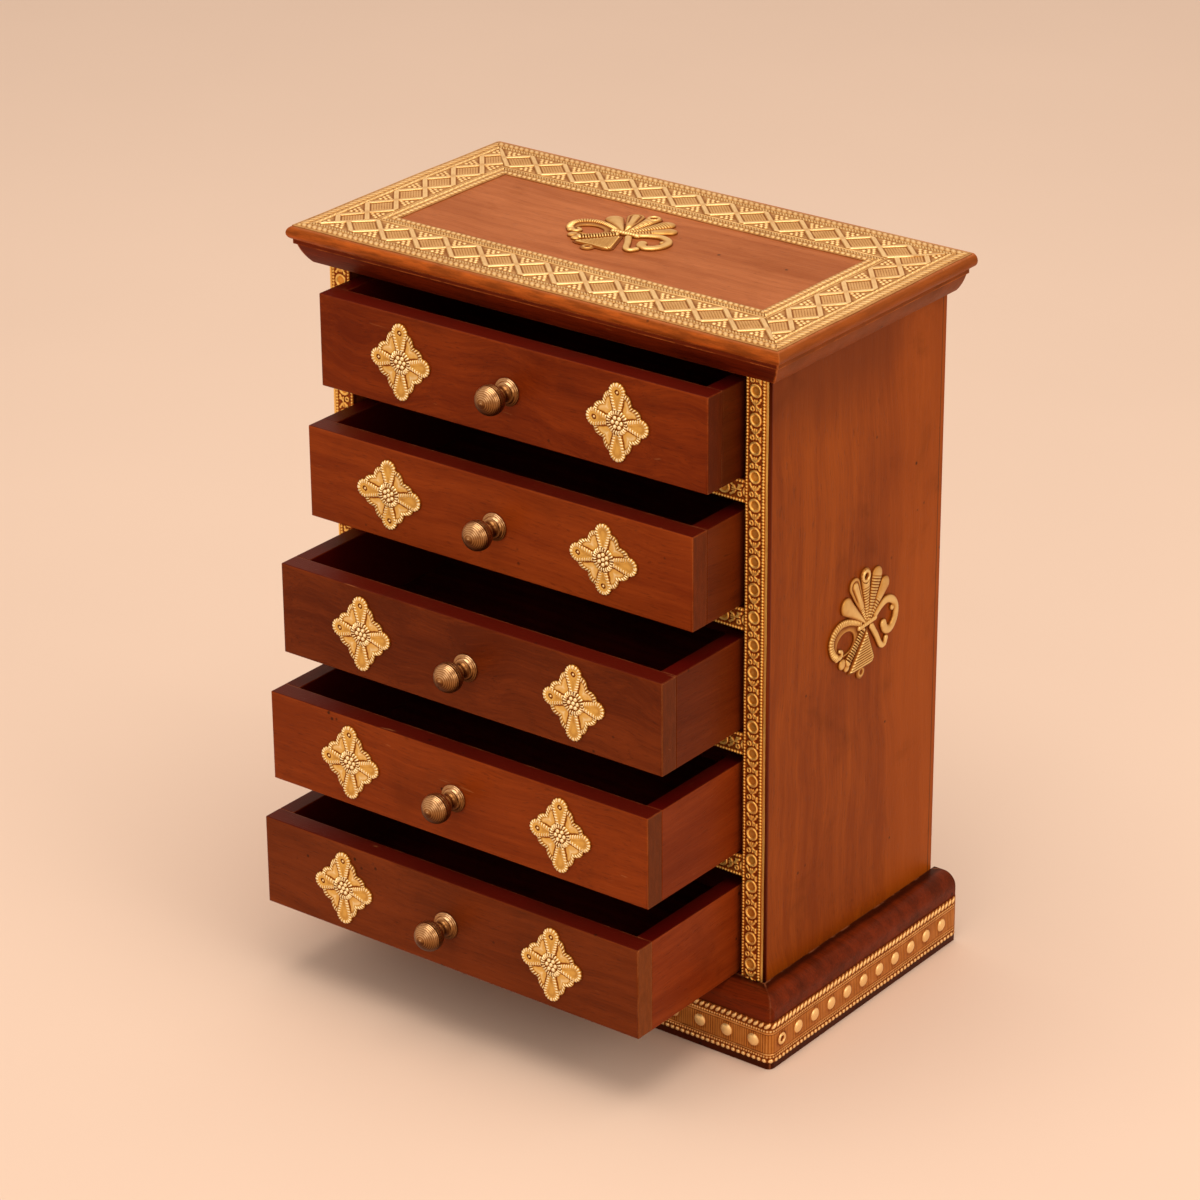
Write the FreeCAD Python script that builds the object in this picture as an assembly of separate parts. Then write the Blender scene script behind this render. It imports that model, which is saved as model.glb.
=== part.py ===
import FreeCAD, Part
import os
from math import asin, cos, degrees, radians, sin
from FreeCAD import Placement, Rotation, Vector

# Five-drawer table-top chest in polished hardwood with stamped brass trim.
# Millimetres, +Z up, the drawers open towards -Y, origin under the middle of the carcass.

# Carcass
total_height = 330.0
carcass_width = 234.0
carcass_depth = 130.0
side_thickness = 12.0
side_edge_round = 1.2
edge_tolerance = 0.1
dado_depth = 4.0
back_thickness = 4.0
back_rabbet = 6.0
back_overhang = 3.0

# Drawer dividers, counted from the top
divider_thickness = 10.4
divider_pitch = 57.55
lowest_divider_top = 92.5

# Plinth
plinth_height = 34.0
plinth_stand_out = 11.6
plinth_round = 6.5
plinth_corner = 3.0
base_board_thickness = 12.0
bottom_panel_thickness = 4.0

# Top board and the cornice moulding below it
top_thickness = 6.0
top_overhang = 12.8
top_nose_depth = 2.2
cornice_height = 11.0
cornice_reach = 10.6
cornice_fillet = 2.0
cornice_quirk = 1.1
cornice_foot = 4.6
ovolo_bulge = 0.7
carcass_top_thickness = 11.5

# Drawers
drawer_width = 205.4
drawer_height = 42.4
drawer_length = 124.0
drawer_lift = 0.3
drawer_front_thickness = 10.0
drawer_side_thickness = 8.0
drawer_back_thickness = 8.0
drawer_bottom_thickness = 4.0
drawer_bottom_lift = 4.0
groove_depth = 4.0
front_arris = 0.6
drawer_openings = (23.0, 33.0, 54.0, 64.0, 71.0)

# Turned knob with a stud through the drawer front, and the nut on the stud
flange_radius = 6.3
flange_thickness = 1.3
flange_step_radius = 4.6
flange_step_depth = 2.6
neck_radius = 2.9
neck_depth = 4.6
ball_radius = 6.25
ball_centre = 11.9
stud_radius = 1.4
stud_clearance = 0.15
stud_end = 13.2
nut_radius = 3.2
nut_thickness = 2.4

# Drawer medallions
medallion_half_height = 17.6
medallion_half_width = 16.2
medallion_offset = 57.5
medallion_sheet = 0.9
tip_radius = 4.6
lozenge_half_height = 15.8
lozenge_half_width = 14.4
scallop_places = (0.36, 0.64)
scallop_inset = 0.667
scallop_radius = 4.5
boss_radius = 5.0
boss_rise = 0.8
turned_drawers = (2,)

# Stamped brass strips: each rib is given by its place across the strip and its half width
sheet = 0.5
rib_height = 0.6
stile_strip_width = 11.4
stile_strip_margin = 0.7
stile_ribs = ((1.0, 0.6), (9.1, 0.9))
rail_ribs = ((0.9, 0.6), (9.5, 0.6))
plinth_strip_low = 3.2
plinth_strip_height = 20.0
plinth_strip_return = 4.0
plinth_ribs = ((1.3, 1.1), (17.9, 1.5))
dome_radius = 3.0
dome_height = 1.2
dome_level = 10.2
front_dome_pitch = 14.1
side_dome_pitch = 12.5
side_dome_start = 7.5

# Brass border on the top
border_half_width = 128.0
border_front = -76.0
border_back = 66.8
long_strip_width = 35.0
long_lattice_pitch = 18.4
short_strip_width = 32.2
short_lattice_pitch = 20.0
border_rib_inset = 3.0
border_rib_half = 1.7
lattice_gap = 0.5
lattice_half_height = 8.4
lattice_bar = 2.4
lattice_rise = 0.4

# Plume ornament, in its own plane with its origin at the knot
ornament_sheet = 0.8
ornament_relief = 1.4
knot_relief = 2.0
petal_angles = (-46.7, -25.9, -3.9, 22.4, 46.1)
petal_lengths = (21.7, 22.9, 22.3, 21.0, 19.0)
petal_heel_radius = 1.0
petal_tip_radius = 3.2
web_radius = 13.0
loop_ends = ((-19.4, -1.4), (-9.0, -2.4))
loop_radii = (9.2, 5.0)
loop_hole_ends = ((-18.8, -2.6), (-14.0, -3.8))
loop_hole_radius = 4.2
scroll_centre = (15.4, -1.8)
scroll_radius = 7.2
scroll_width = 4.0
scroll_angles = (125.0, -150.0)
knot_half_length = 6.6
knot_radius = 1.3
cord_end = (-13.6, -13.6)
prong_end = (11.6, -14.2)
cord_radius = 2.3
body_outline = ((0.0, 0.0), (-14.8, -16.8), (-9.8, -20.0), (8.0, -20.4))
tab_centre = (-3.3, -21.6)
tab_radius = 3.8
tab_hole_radius = 1.2
side_ornament_place = (7.2, 177.6)
top_ornament_place = (-4.2, -1.4)

half_width = carcass_width / 2
half_depth = carcass_depth / 2
inner_half = half_width - side_thickness
back_inside = half_depth - back_thickness
back_end = half_depth + back_overhang
top_face = total_height - sheet
top_underside = top_face - top_thickness
trim_front = -half_depth - sheet
divider_tops = [lowest_divider_top + divider_pitch * level for level in (3, 2, 1, 0)]
drawer_floors = divider_tops + [plinth_height]
parts = {}


def board(x_span, y_span, z_span):
    low = Vector(x_span[0], y_span[0], z_span[0])
    return Part.makeBox(x_span[1] - x_span[0], y_span[1] - y_span[0], z_span[1] - z_span[0], low)


def fused(shapes):
    return shapes[0].multiFuse(shapes[1:]).removeSplitter()


def mirrored(shape):
    return shape.mirror(Vector(0, 0, 0), Vector(1, 0, 0))


def polygon(points):
    corners = [Vector(*point) for point in points]
    return Part.Face(Part.makePolygon(corners + corners[:1]))


def plan_prism(points, low, high):
    flat = polygon([(x, y, low) for x, y in points])
    return flat.extrude(Vector(0, 0, high - low))


# Carcass


def side_panel():
    panel = board((inner_half, half_width), (-half_depth, half_depth), (0, top_underside))
    arris = [edge for edge in panel.Edges
             if all(vertex.X > half_width - edge_tolerance and vertex.Y < 0 for vertex in edge.Vertexes)]
    panel = panel.makeFillet(side_edge_round, arris)
    dado = (inner_half, inner_half + dado_depth)
    run = (-half_depth, back_inside)
    housings = [board(dado, run, (top - divider_thickness, top)) for top in divider_tops]
    housings.append(board(dado, run, (plinth_height - base_board_thickness, plinth_height)))
    housings.append(board(dado, run, (top_underside - carcass_top_thickness, top_underside)))
    rabbet = (inner_half, inner_half + back_rabbet)
    housings.append(board(rabbet, (back_inside, half_depth), (0, top_underside)))
    return panel.cut(housings)


def shelf(low, high):
    reach = inner_half + dado_depth
    return board((-reach, reach), (-half_depth, back_inside), (low, high))


def make_carcass():
    parts["side_panel_right"] = side_panel()
    parts["side_panel_left"] = mirrored(parts["side_panel_right"])
    for number, top in enumerate(divider_tops, 1):
        parts[f"divider_{number}"] = shelf(top - divider_thickness, top)
    parts["base_board"] = shelf(plinth_height - base_board_thickness, plinth_height)
    parts["carcass_top"] = shelf(top_underside - carcass_top_thickness, top_underside)
    back_reach = inner_half + back_rabbet
    parts["back_panel"] = board((-back_reach, back_reach), (back_inside, half_depth), (0, top_underside))
    parts["bottom_panel"] = board((-inner_half, inner_half), (-half_depth, back_inside),
                                  (0, bottom_panel_thickness))


# Mouldings: a profile of (outward, height) edges runs along the front or the right side,
# and a plan outline with 45 degree ends cuts its mitres


def moulding_edges(points, place):
    edges = []
    here = points[0]
    for point in points[1:] + points[:1]:
        if isinstance(point[0], tuple):
            middle, end = point
            edges.append(Part.Arc(place(*here), place(*middle), place(*end)).toShape())
            here = end
        else:
            edges.append(Part.LineSegment(place(*here), place(*point)).toShape())
            here = point
    return edges


def front_run(points, reach):
    start = -half_width - reach
    face = Part.Face(Part.Wire(moulding_edges(points, lambda out, z: Vector(start, -half_depth - out, z))))
    run = face.extrude(Vector(-2 * start, 0, 0))
    plan = ((-half_width, -half_depth), (half_width, -half_depth),
            (half_width + reach, -half_depth - reach), (start, -half_depth - reach))
    return run.common(plan_prism(plan, 0, total_height))


def side_run(points, reach, end):
    start = -half_depth - reach
    face = Part.Face(Part.Wire(moulding_edges(points, lambda out, z: Vector(half_width + out, start, z))))
    run = face.extrude(Vector(0, end - start, 0))
    plan = ((half_width, -half_depth), (half_width + reach, start),
            (half_width + reach, end), (half_width, end))
    return run.common(plan_prism(plan, 0, total_height))


def cornice_profile():
    # A fillet under the top board, a quirk, and an ovolo down to the foot
    low = top_underside - cornice_height
    fillet_low = top_underside - cornice_fillet
    shoulder = cornice_reach - cornice_quirk
    ovolo_middle = ((shoulder + cornice_foot) / 2 + ovolo_bulge, (fillet_low + low) / 2)
    return [(0, top_underside), (cornice_reach, top_underside), (cornice_reach, fillet_low),
            (shoulder, fillet_low), (ovolo_middle, (cornice_foot, low)), (0, low)]


def plinth_profile():
    spring = plinth_height - plinth_round
    half_turn = radians(45)
    shoulder = plinth_stand_out - plinth_round
    middle = (shoulder + plinth_round * cos(half_turn), spring + plinth_round * sin(half_turn))
    return [(0, 0), (plinth_stand_out, 0), (plinth_stand_out, spring),
            (middle, (shoulder, plinth_height)), (0, plinth_height)]


def plinth_block():
    # Room that the plinth fills in plan, with both front corners rounded
    side = half_width + plinth_stand_out
    front = -half_depth - plinth_stand_out
    block = board((-side, side), (front, back_end), (0, plinth_height))
    corners = [edge for edge in block.Edges
               if edge.Length == plinth_height and edge.Vertexes[0].Y < 0]
    return block.makeFillet(plinth_corner, corners)


def nose_edges(points):
    # Corner pairs of a board's section are joined by straight edges, and each nose by one arc
    edges = []
    for kind, *corners in points:
        corners = [Vector(*corner) for corner in corners]
        curve = Part.Arc(*corners) if kind == "nose" else Part.LineSegment(*corners)
        edges.append(curve.toShape())
    return Part.Face(Part.Wire(edges))


def top_board():
    # The board is what two rounded sections, run along X and along Y, have in common
    nose = top_nose_depth
    side = half_width + top_overhang
    front = -half_depth - top_overhang
    centre = top_underside + top_thickness / 2
    long_section = nose_edges([
        ("nose", (-side, front + nose, top_face), (-side, front, centre),
         (-side, front + nose, top_underside)),
        ("line", (-side, front + nose, top_underside), (-side, back_end, top_underside)),
        ("line", (-side, back_end, top_underside), (-side, back_end, top_face)),
        ("line", (-side, back_end, top_face), (-side, front + nose, top_face))])
    cross_section = nose_edges([
        ("nose", (-side + nose, front, top_face), (-side, front, centre),
         (-side + nose, front, top_underside)),
        ("line", (-side + nose, front, top_underside), (side - nose, front, top_underside)),
        ("nose", (side - nose, front, top_underside), (side, front, centre),
         (side - nose, front, top_face)),
        ("line", (side - nose, front, top_face), (-side + nose, front, top_face))])
    along_x = long_section.extrude(Vector(2 * side, 0, 0))
    along_y = cross_section.extrude(Vector(0, back_end - front, 0))
    return along_x.common(along_y)


def make_mouldings():
    parts["top_board"] = top_board()
    parts["cornice_front"] = front_run(cornice_profile(), cornice_reach)
    parts["cornice_right"] = side_run(cornice_profile(), cornice_reach, half_depth)
    parts["cornice_left"] = mirrored(parts["cornice_right"])
    block = plinth_block()
    parts["plinth_front"] = front_run(plinth_profile(), plinth_stand_out).common(block)
    parts["plinth_right"] = side_run(plinth_profile(), plinth_stand_out, back_end).common(block)
    parts["plinth_left"] = mirrored(parts["plinth_right"])


# Brass strips


def strip_section(width, ribs):
    # Section as (across, height) points: a flat sheet with raised ribs
    crest = sheet + rib_height
    points = [(0, 0), (0, sheet)]
    for place, half in ribs:
        points += [(place - half, sheet), (place - half / 2, crest),
                   (place + half / 2, crest), (place + half, sheet)]
    return points + [(width, sheet), (width, 0)]


def strip_run(section, place, run):
    return polygon([place(across, height) for across, height in section]).extrude(run)


def stile_strip():
    left = half_width - stile_strip_margin - stile_strip_width
    length = top_underside - cornice_height - plinth_height
    return strip_run(strip_section(stile_strip_width, stile_ribs),
                     lambda across, height: (left + across, -half_depth - height, plinth_height),
                     Vector(0, 0, length))


def rail_strips():
    reach = half_width - stile_strip_margin - stile_strip_width
    section = strip_section(divider_thickness, rail_ribs)
    strips = []
    for top in divider_tops:
        low = top - divider_thickness
        strips.append(strip_run(section,
                                lambda across, height: (-reach, -half_depth - height, low + across),
                                Vector(2 * reach, 0, 0)))
    return Part.makeCompound(strips)


def dome(x, y, outward):
    # Spherical cap standing on the face of the strip
    radius = (dome_radius ** 2 + dome_height ** 2) / (2 * dome_height)
    depth = radius - dome_height
    base = Vector(x, y, plinth_strip_low + dome_level)
    return Part.makeSphere(radius, base - outward * depth, outward, degrees(asin(depth / radius)), 90, 360)


def plinth_strip():
    # One strip bent round the front corners of the plinth, with a short return at each back corner
    section = strip_section(plinth_strip_height, plinth_ribs)
    side = half_width + plinth_stand_out
    front = -half_depth - plinth_stand_out
    bend = Vector(side - plinth_corner, front + plinth_corner, plinth_strip_low)
    front_section = polygon([(bend.x, front - height, bend.z + across) for across, height in section])
    side_section = polygon([(side + height, bend.y, bend.z + across) for across, height in section])
    fold = board((side - plinth_strip_return, side + sheet), (back_end, back_end + sheet),
                 (bend.z, bend.z + plinth_strip_height))
    right = [front_section.revolve(bend, Vector(0, 0, 1), 90),
             side_section.extrude(Vector(0, back_end - bend.y, 0)), fold]
    count = int((back_end - front - side_dome_start) / side_dome_pitch) + 1
    for step in range(count):
        right.append(dome(side + sheet, front + side_dome_start + step * side_dome_pitch, Vector(1, 0, 0)))
    shapes = [front_section.extrude(Vector(-2 * bend.x, 0, 0))]
    shapes += right + [mirrored(shape) for shape in right]
    count = int(2 * side / front_dome_pitch)
    for step in range(count):
        x = (step - (count - 1) / 2) * front_dome_pitch
        shapes.append(dome(x, front - sheet, Vector(0, -1, 0)))
    return fused(shapes)


def rhombus(x, y, half_length, half_height):
    corners = ((x - half_length, y), (x, y - half_height), (x + half_length, y), (x, y + half_height))
    return plan_prism(corners, sheet, sheet + lattice_rise)


def border_strip(length, width, end_width, pitch):
    # Front strip with its outer edge on y = 0, mitred ends and a chain of raised lozenges
    half = length / 2
    inner = half - end_width
    outline = ((-half, 0), (half, 0), (inner, width), (-inner, width))
    ribs = ((border_rib_inset, border_rib_half), (width - border_rib_inset, border_rib_half))
    strip = strip_run(strip_section(width, ribs), lambda across, height: (-half, across, height),
                      Vector(length, 0, 0))
    shapes = [strip.common(plan_prism(outline, 0, sheet + rib_height))]
    half_length = (pitch - lattice_gap) / 2
    count = int(2 * inner / pitch) + 1
    for step in range(count):
        x = (step - (count - 1) / 2) * pitch
        field = rhombus(x, width / 2, half_length - lattice_bar, lattice_half_height - lattice_bar)
        shapes.append(rhombus(x, width / 2, half_length, lattice_half_height).cut(field))
    return fused(shapes)


def top_border():
    middle = (border_front + border_back) / 2
    width = 2 * border_half_width
    long_strip = border_strip(width, long_strip_width, short_strip_width, long_lattice_pitch)
    depth = border_back - border_front
    short_strip = border_strip(depth, short_strip_width, long_strip_width, short_lattice_pitch)
    places = ((long_strip, 0, Vector(0, border_front, top_face)),
              (short_strip, 90, Vector(border_half_width, middle, top_face)),
              (long_strip, 180, Vector(0, border_back, top_face)),
              (short_strip, 270, Vector(-border_half_width, middle, top_face)))
    strips = []
    for strip, turn, corner in places:
        copy = strip.copy()
        copy.Placement = Placement(corner, Rotation(Vector(0, 0, 1), turn))
        strips.append(copy)
    return Part.makeCompound(strips)


def make_strips():
    parts["stile_strip_right"] = stile_strip()
    parts["stile_strip_left"] = mirrored(parts["stile_strip_right"])
    parts["rail_strips"] = rail_strips()
    parts["plinth_strip"] = plinth_strip()
    parts["top_border"] = top_border()


# Stamped ornaments, drawn in the XY plane and raised along +Z


def disc(x, y, radius):
    return Part.Face(Part.Wire(Part.makeCircle(radius, Vector(x, y, 0))))


def petal(start, start_radius, end, end_radius):
    along = (end - start).normalize()
    across = Vector(-along.y, along.x, 0)
    left = (start + across * start_radius, end + across * end_radius)
    right = (end - across * end_radius, start - across * start_radius)
    edges = [Part.LineSegment(*left), Part.Arc(left[1], end + along * end_radius, right[0]),
             Part.LineSegment(*right), Part.Arc(right[1], start - along * start_radius, left[0])]
    return Part.Face(Part.Wire([edge.toShape() for edge in edges]))


def scroll_band():
    def at(radius, angle):
        turn = radians(angle)
        return Vector(scroll_centre[0] + radius * cos(turn), scroll_centre[1] + radius * sin(turn), 0)

    first, last = scroll_angles
    middle = (first + last) / 2
    inner = scroll_radius - scroll_width / 2
    outer = scroll_radius + scroll_width / 2
    edges = [Part.Arc(at(outer, first), at(outer, middle), at(outer, last)),
             Part.LineSegment(at(outer, last), at(inner, last)),
             Part.Arc(at(inner, last), at(inner, middle), at(inner, first)),
             Part.LineSegment(at(inner, first), at(outer, first))]
    return Part.Face(Part.Wire([edge.toShape() for edge in edges]))


def plume_ornament():
    knot = Vector(0, 0, 0)
    low_faces = [polygon([(x, y, 0) for x, y in body_outline]), disc(0, 0, web_radius),
                 disc(*tab_centre, tab_radius)]
    low = [face.extrude(Vector(0, 0, ornament_sheet)) for face in low_faces]
    below_knot = board((-web_radius, web_radius), (-2 * web_radius, 0), (0, knot_relief))
    low[1] = low[1].cut(below_knot)
    loop_start, loop_end = [Vector(*end, 0) for end in loop_ends]
    high_faces = [petal(loop_end, loop_radii[1], loop_start, loop_radii[0]), scroll_band()]
    for angle, length in zip(petal_angles, petal_lengths):
        tip = Vector(length * sin(radians(angle)), length * cos(radians(angle)), 0)
        high_faces.append(petal(knot, petal_heel_radius, tip, petal_tip_radius))
    for end in (cord_end, prong_end):
        high_faces.append(petal(knot, cord_radius, Vector(*end, 0), cord_radius))
    high = [face.extrude(Vector(0, 0, ornament_relief)) for face in high_faces]
    arm_start = Vector(scroll_centre[0] + scroll_radius * cos(radians(scroll_angles[0])),
                       scroll_centre[1] + scroll_radius * sin(radians(scroll_angles[0])), 0)
    arm = petal(knot, knot_radius, arm_start, scroll_width / 2)
    high.append(arm.extrude(Vector(0, 0, ornament_relief)))
    tie = petal(Vector(-knot_half_length, 0, 0), knot_radius, Vector(knot_half_length, 0, 0), knot_radius)
    high.append(tie.extrude(Vector(0, 0, knot_relief)))
    hole_start, hole_end = [Vector(*end, 0) for end in loop_hole_ends]
    holes = [petal(hole_end, loop_hole_radius, hole_start, loop_hole_radius),
             disc(*tab_centre, tab_hole_radius)]
    drills = [face.extrude(Vector(0, 0, knot_relief)) for face in holes]
    return fused(low + high).cut(drills)


def placed(shape, origin, x_axis, y_axis):
    z_axis = x_axis.cross(y_axis)
    copy = shape.copy()
    copy.Placement = Placement(origin, Rotation(x_axis, y_axis, z_axis, "XYZ"))
    return copy


def make_ornaments():
    plume = plume_ornament()
    back_along, up = Vector(0, 1, 0), Vector(0, 0, 1)
    y, z = side_ornament_place
    parts["plume_ornaments"] = Part.makeCompound([
        placed(plume, Vector(half_width, y, z), back_along, up),
        placed(plume, Vector(-half_width, y, z), -back_along, up),
        placed(plume, Vector(*top_ornament_place, top_face), Vector(1, 0, 0), back_along)])


def medallion():
    corners = [Vector(0, lozenge_half_height, 0), Vector(lozenge_half_width, 0, 0)]
    tips = [Vector(0, medallion_half_height - tip_radius, 0),
            Vector(medallion_half_width - tip_radius, 0, 0)]
    corners += [-corner for corner in corners]
    tips += [-tip for tip in tips]
    faces = [polygon([tuple(corner) for corner in corners])]
    faces += [disc(tip.x, tip.y, tip_radius) for tip in tips]
    for corner, following in zip(corners, corners[1:] + corners[:1]):
        for share in scallop_places:
            spot = (corner + (following - corner) * share) * scallop_inset
            faces.append(disc(spot.x, spot.y, scallop_radius))
    shapes = [face.extrude(Vector(0, 0, medallion_sheet)) for face in faces]
    shapes.append(Part.makeCylinder(boss_radius, boss_rise, Vector(0, 0, medallion_sheet)))
    return fused(shapes)


# Drawers, made shut and then pulled out


def turned(points, origin):
    # Turning about the axis through the origin along -Y, from (radius, distance) points
    axis_end = Vector(0, -1, 0)
    edges = moulding_edges(points, lambda radius, out: origin + Vector(radius, 0, 0) + axis_end * out)
    return Part.Face(Part.Wire(edges)).revolve(origin, axis_end, 360)


def knob(origin):
    ball_start = ball_centre - (ball_radius ** 2 - neck_radius ** 2) ** 0.5
    return turned([(0, -stud_end), (stud_radius, -stud_end), (stud_radius, 0), (flange_radius, 0),
                   (flange_radius, flange_thickness), (flange_step_radius, flange_step_depth),
                   (neck_radius, neck_depth), (neck_radius, ball_start),
                   ((ball_radius, ball_centre), (0, ball_centre + ball_radius))], origin)


def knob_nut(origin):
    corners = [radians(60 * step) for step in range(6)]
    inside = Vector(0, drawer_front_thickness, 0)
    hexagon = polygon([origin + inside + Vector(nut_radius * cos(turn), 0, nut_radius * sin(turn))
                       for turn in corners])
    nut = hexagon.extrude(Vector(0, nut_thickness, 0))
    bore = Part.makeCylinder(stud_radius + stud_clearance, nut_thickness, origin + inside, Vector(0, 1, 0))
    return nut.cut(bore)


def drawer_front(face_y, low):
    half = drawer_width / 2
    front = board((-half, half), (face_y, face_y + drawer_front_thickness), (low, low + drawer_height))
    rim = [edge for edge in front.Edges
           if all(abs(vertex.Y - face_y) < edge_tolerance for vertex in edge.Vertexes)]
    front = front.makeChamfer(front_arris, rim)
    middle = Vector(0, face_y, low + drawer_height / 2)
    hole = Part.makeCylinder(stud_radius + stud_clearance, drawer_front_thickness, middle, Vector(0, 1, 0))
    inside = face_y + drawer_front_thickness
    reach = half - drawer_side_thickness + groove_depth
    groove = board((-reach, reach), (inside - groove_depth, inside), bottom_span(low))
    return front.cut([hole, groove])


def bottom_span(low):
    return (low + drawer_bottom_lift, low + drawer_bottom_lift + drawer_bottom_thickness)


def drawer_sides(face_y, low):
    outer = drawer_width / 2
    inner = outer - drawer_side_thickness
    run = (face_y + drawer_front_thickness, face_y + drawer_length)
    side = board((inner, outer), run, (low, low + drawer_height))
    side = side.cut(board((inner, inner + groove_depth), run, bottom_span(low)))
    return Part.makeCompound([side, mirrored(side)])


def drawer_back(face_y, low):
    inner = drawer_width / 2 - drawer_side_thickness
    rear = face_y + drawer_length
    start = rear - drawer_back_thickness
    back = board((-inner, inner), (start, rear), (low, low + drawer_height))
    return back.cut(board((-inner, inner), (start, start + groove_depth), bottom_span(low)))


def drawer_bottom(face_y, low):
    reach = drawer_width / 2 - drawer_side_thickness + groove_depth
    inner = reach - groove_depth
    front = face_y + drawer_front_thickness
    back = face_y + drawer_length - drawer_back_thickness
    span = bottom_span(low)
    panel = board((-reach, reach), (front - groove_depth, back), span)
    tongue = board((-inner, inner), (back, back + groove_depth), span)
    return fused([panel, tongue])


def make_drawers():
    plain = medallion()
    for number, (floor, opening) in enumerate(zip(drawer_floors, drawer_openings), 1):
        low = floor + drawer_lift
        face_y = trim_front - opening
        middle = Vector(0, face_y, low + drawer_height / 2)
        name = f"drawer_{number}_"
        parts[name + "front"] = drawer_front(face_y, low)
        parts[name + "sides"] = drawer_sides(face_y, low)
        parts[name + "back"] = drawer_back(face_y, low)
        parts[name + "bottom"] = drawer_bottom(face_y, low)
        parts[name + "knob"] = knob(middle)
        parts[name + "knob_nut"] = knob_nut(middle)
        right, up = Vector(1, 0, 0), Vector(0, 0, 1)
        axes = (up, -right) if number in turned_drawers else (right, up)
        pair = [placed(plain, middle + right * side * medallion_offset, *axes) for side in (-1, 1)]
        parts[name + "medallions"] = Part.makeCompound(pair)


make_carcass()
make_mouldings()
make_strips()
make_ornaments()
make_drawers()

os.makedirs("parts", exist_ok=True)
for node, shape in parts.items():
    shape.exportStep(f"parts/{node}.step")
    print(node, len(shape.Solids), shape.isValid(), round(shape.Volume, 1))
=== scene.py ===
import math
from functools import partial
from types import SimpleNamespace

import bmesh
import bpy
import numpy as np
from mathutils import Matrix, Vector
from mathutils.geometry import delaunay_2d_cdt


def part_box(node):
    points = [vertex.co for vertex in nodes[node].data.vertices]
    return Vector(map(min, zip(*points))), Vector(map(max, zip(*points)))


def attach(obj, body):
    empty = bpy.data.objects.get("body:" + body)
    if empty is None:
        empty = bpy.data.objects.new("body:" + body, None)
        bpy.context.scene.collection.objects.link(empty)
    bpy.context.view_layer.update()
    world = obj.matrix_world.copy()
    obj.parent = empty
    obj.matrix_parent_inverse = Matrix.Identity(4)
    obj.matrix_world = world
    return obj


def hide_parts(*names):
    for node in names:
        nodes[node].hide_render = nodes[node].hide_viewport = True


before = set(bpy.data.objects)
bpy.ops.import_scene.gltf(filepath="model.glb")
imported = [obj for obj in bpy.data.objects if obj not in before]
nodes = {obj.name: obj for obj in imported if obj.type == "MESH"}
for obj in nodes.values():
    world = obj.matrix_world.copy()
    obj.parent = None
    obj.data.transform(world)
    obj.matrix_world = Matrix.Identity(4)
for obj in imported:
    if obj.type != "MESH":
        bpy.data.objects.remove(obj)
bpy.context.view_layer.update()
mm = 0.001
drawerNumbers = range(1, 6)
dividerNumbers = range(1, 5)
print("frame loaded:", len(nodes), "nodes")


# short ways to wire node trees

wiring = {"tree": None}  # the tree that is being wired


def setInputs(node, inputs):
    for key, value in inputs.items():
        if isinstance(value, bpy.types.NodeSocket):
            wiring["tree"].links.new(value, node.inputs[key])
        else:
            node.inputs[key].default_value = value


def addNode(kind, inputs=None, **settings):
    node = wiring["tree"].nodes.new(kind)
    for key, value in settings.items():
        setattr(node, key, value)
    setInputs(node, inputs or {})
    return node


def calc(operation, *values, clamp=False):
    return addNode("ShaderNodeMath", dict(enumerate(values)), operation=operation, use_clamp=clamp).outputs[0]


plus, minus, times, larger, unsigned = (
    partial(calc, operation) for operation in ("ADD", "SUBTRACT", "MULTIPLY", "MAXIMUM", "ABSOLUTE"))


def vectorCalc(operation, first, second):
    return addNode("ShaderNodeVectorMath", {0: first, 1: second}, operation=operation).outputs[0]


def joinXYZ(*values):
    return addNode("ShaderNodeCombineXYZ", dict(enumerate(values))).outputs[0]


def splitXYZ(vector):
    return addNode("ShaderNodeSeparateXYZ", {0: vector}).outputs


def blendColors(factor, first, second):
    return addNode("ShaderNodeMix", {0: factor, 6: first, 7: second}, data_type="RGBA").outputs[2]


def remap(value, low, high, toLow=0.0, toHigh=1.0):
    limits = {"Value": value, "From Min": low, "From Max": high, "To Min": toLow, "To Max": toHigh}
    return addNode("ShaderNodeMapRange", limits, interpolation_type="SMOOTHSTEP").outputs[0]


def noise(vector, scale, detail=2.0, roughness=0.5, distortion=0.0, colored=False):
    values = {"Vector": vector, "Scale": scale, "Detail": detail, "Roughness": roughness,
              "Distortion": distortion}
    return addNode("ShaderNodeTexNoise", values).outputs[1 if colored else 0]


def paint(red, green, blue):
    # screen colour, 0 to 255, as the linear colour that a shader takes
    channels = [value / 255 for value in (red, green, blue)]
    return tuple(v / 12.92 if v < 0.04045 else ((v + 0.055) / 1.055) ** 2.4 for v in channels) + (1.0,)


def shaded(color, share):
    return tuple(share * value for value in color[:3]) + (1.0,)


def tinted(color, mask, strength, tint):
    return blendColors(times(mask, strength), color, tint)


def newGroup(name, inputs, outputs):
    group = bpy.data.node_groups.new(name, "ShaderNodeTree")
    for label, kind in inputs.items():
        group.interface.new_socket(label, in_out="INPUT", socket_type="NodeSocket" + kind)
    for label, kind in outputs.items():
        group.interface.new_socket(label, in_out="OUTPUT", socket_type="NodeSocket" + kind)
    wiring["tree"] = group
    return group, group.nodes.new("NodeGroupInput").outputs, group.nodes.new("NodeGroupOutput")


def useGroup(group, inputs):
    return addNode("ShaderNodeGroup", inputs, node_tree=group).outputs


def newMaterial(name):
    material = bpy.data.materials.new(name)
    material.use_nodes = True
    wiring["tree"] = material.node_tree
    return material, material.node_tree.nodes["Principled BSDF"]


# effects that several finishes share

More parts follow.
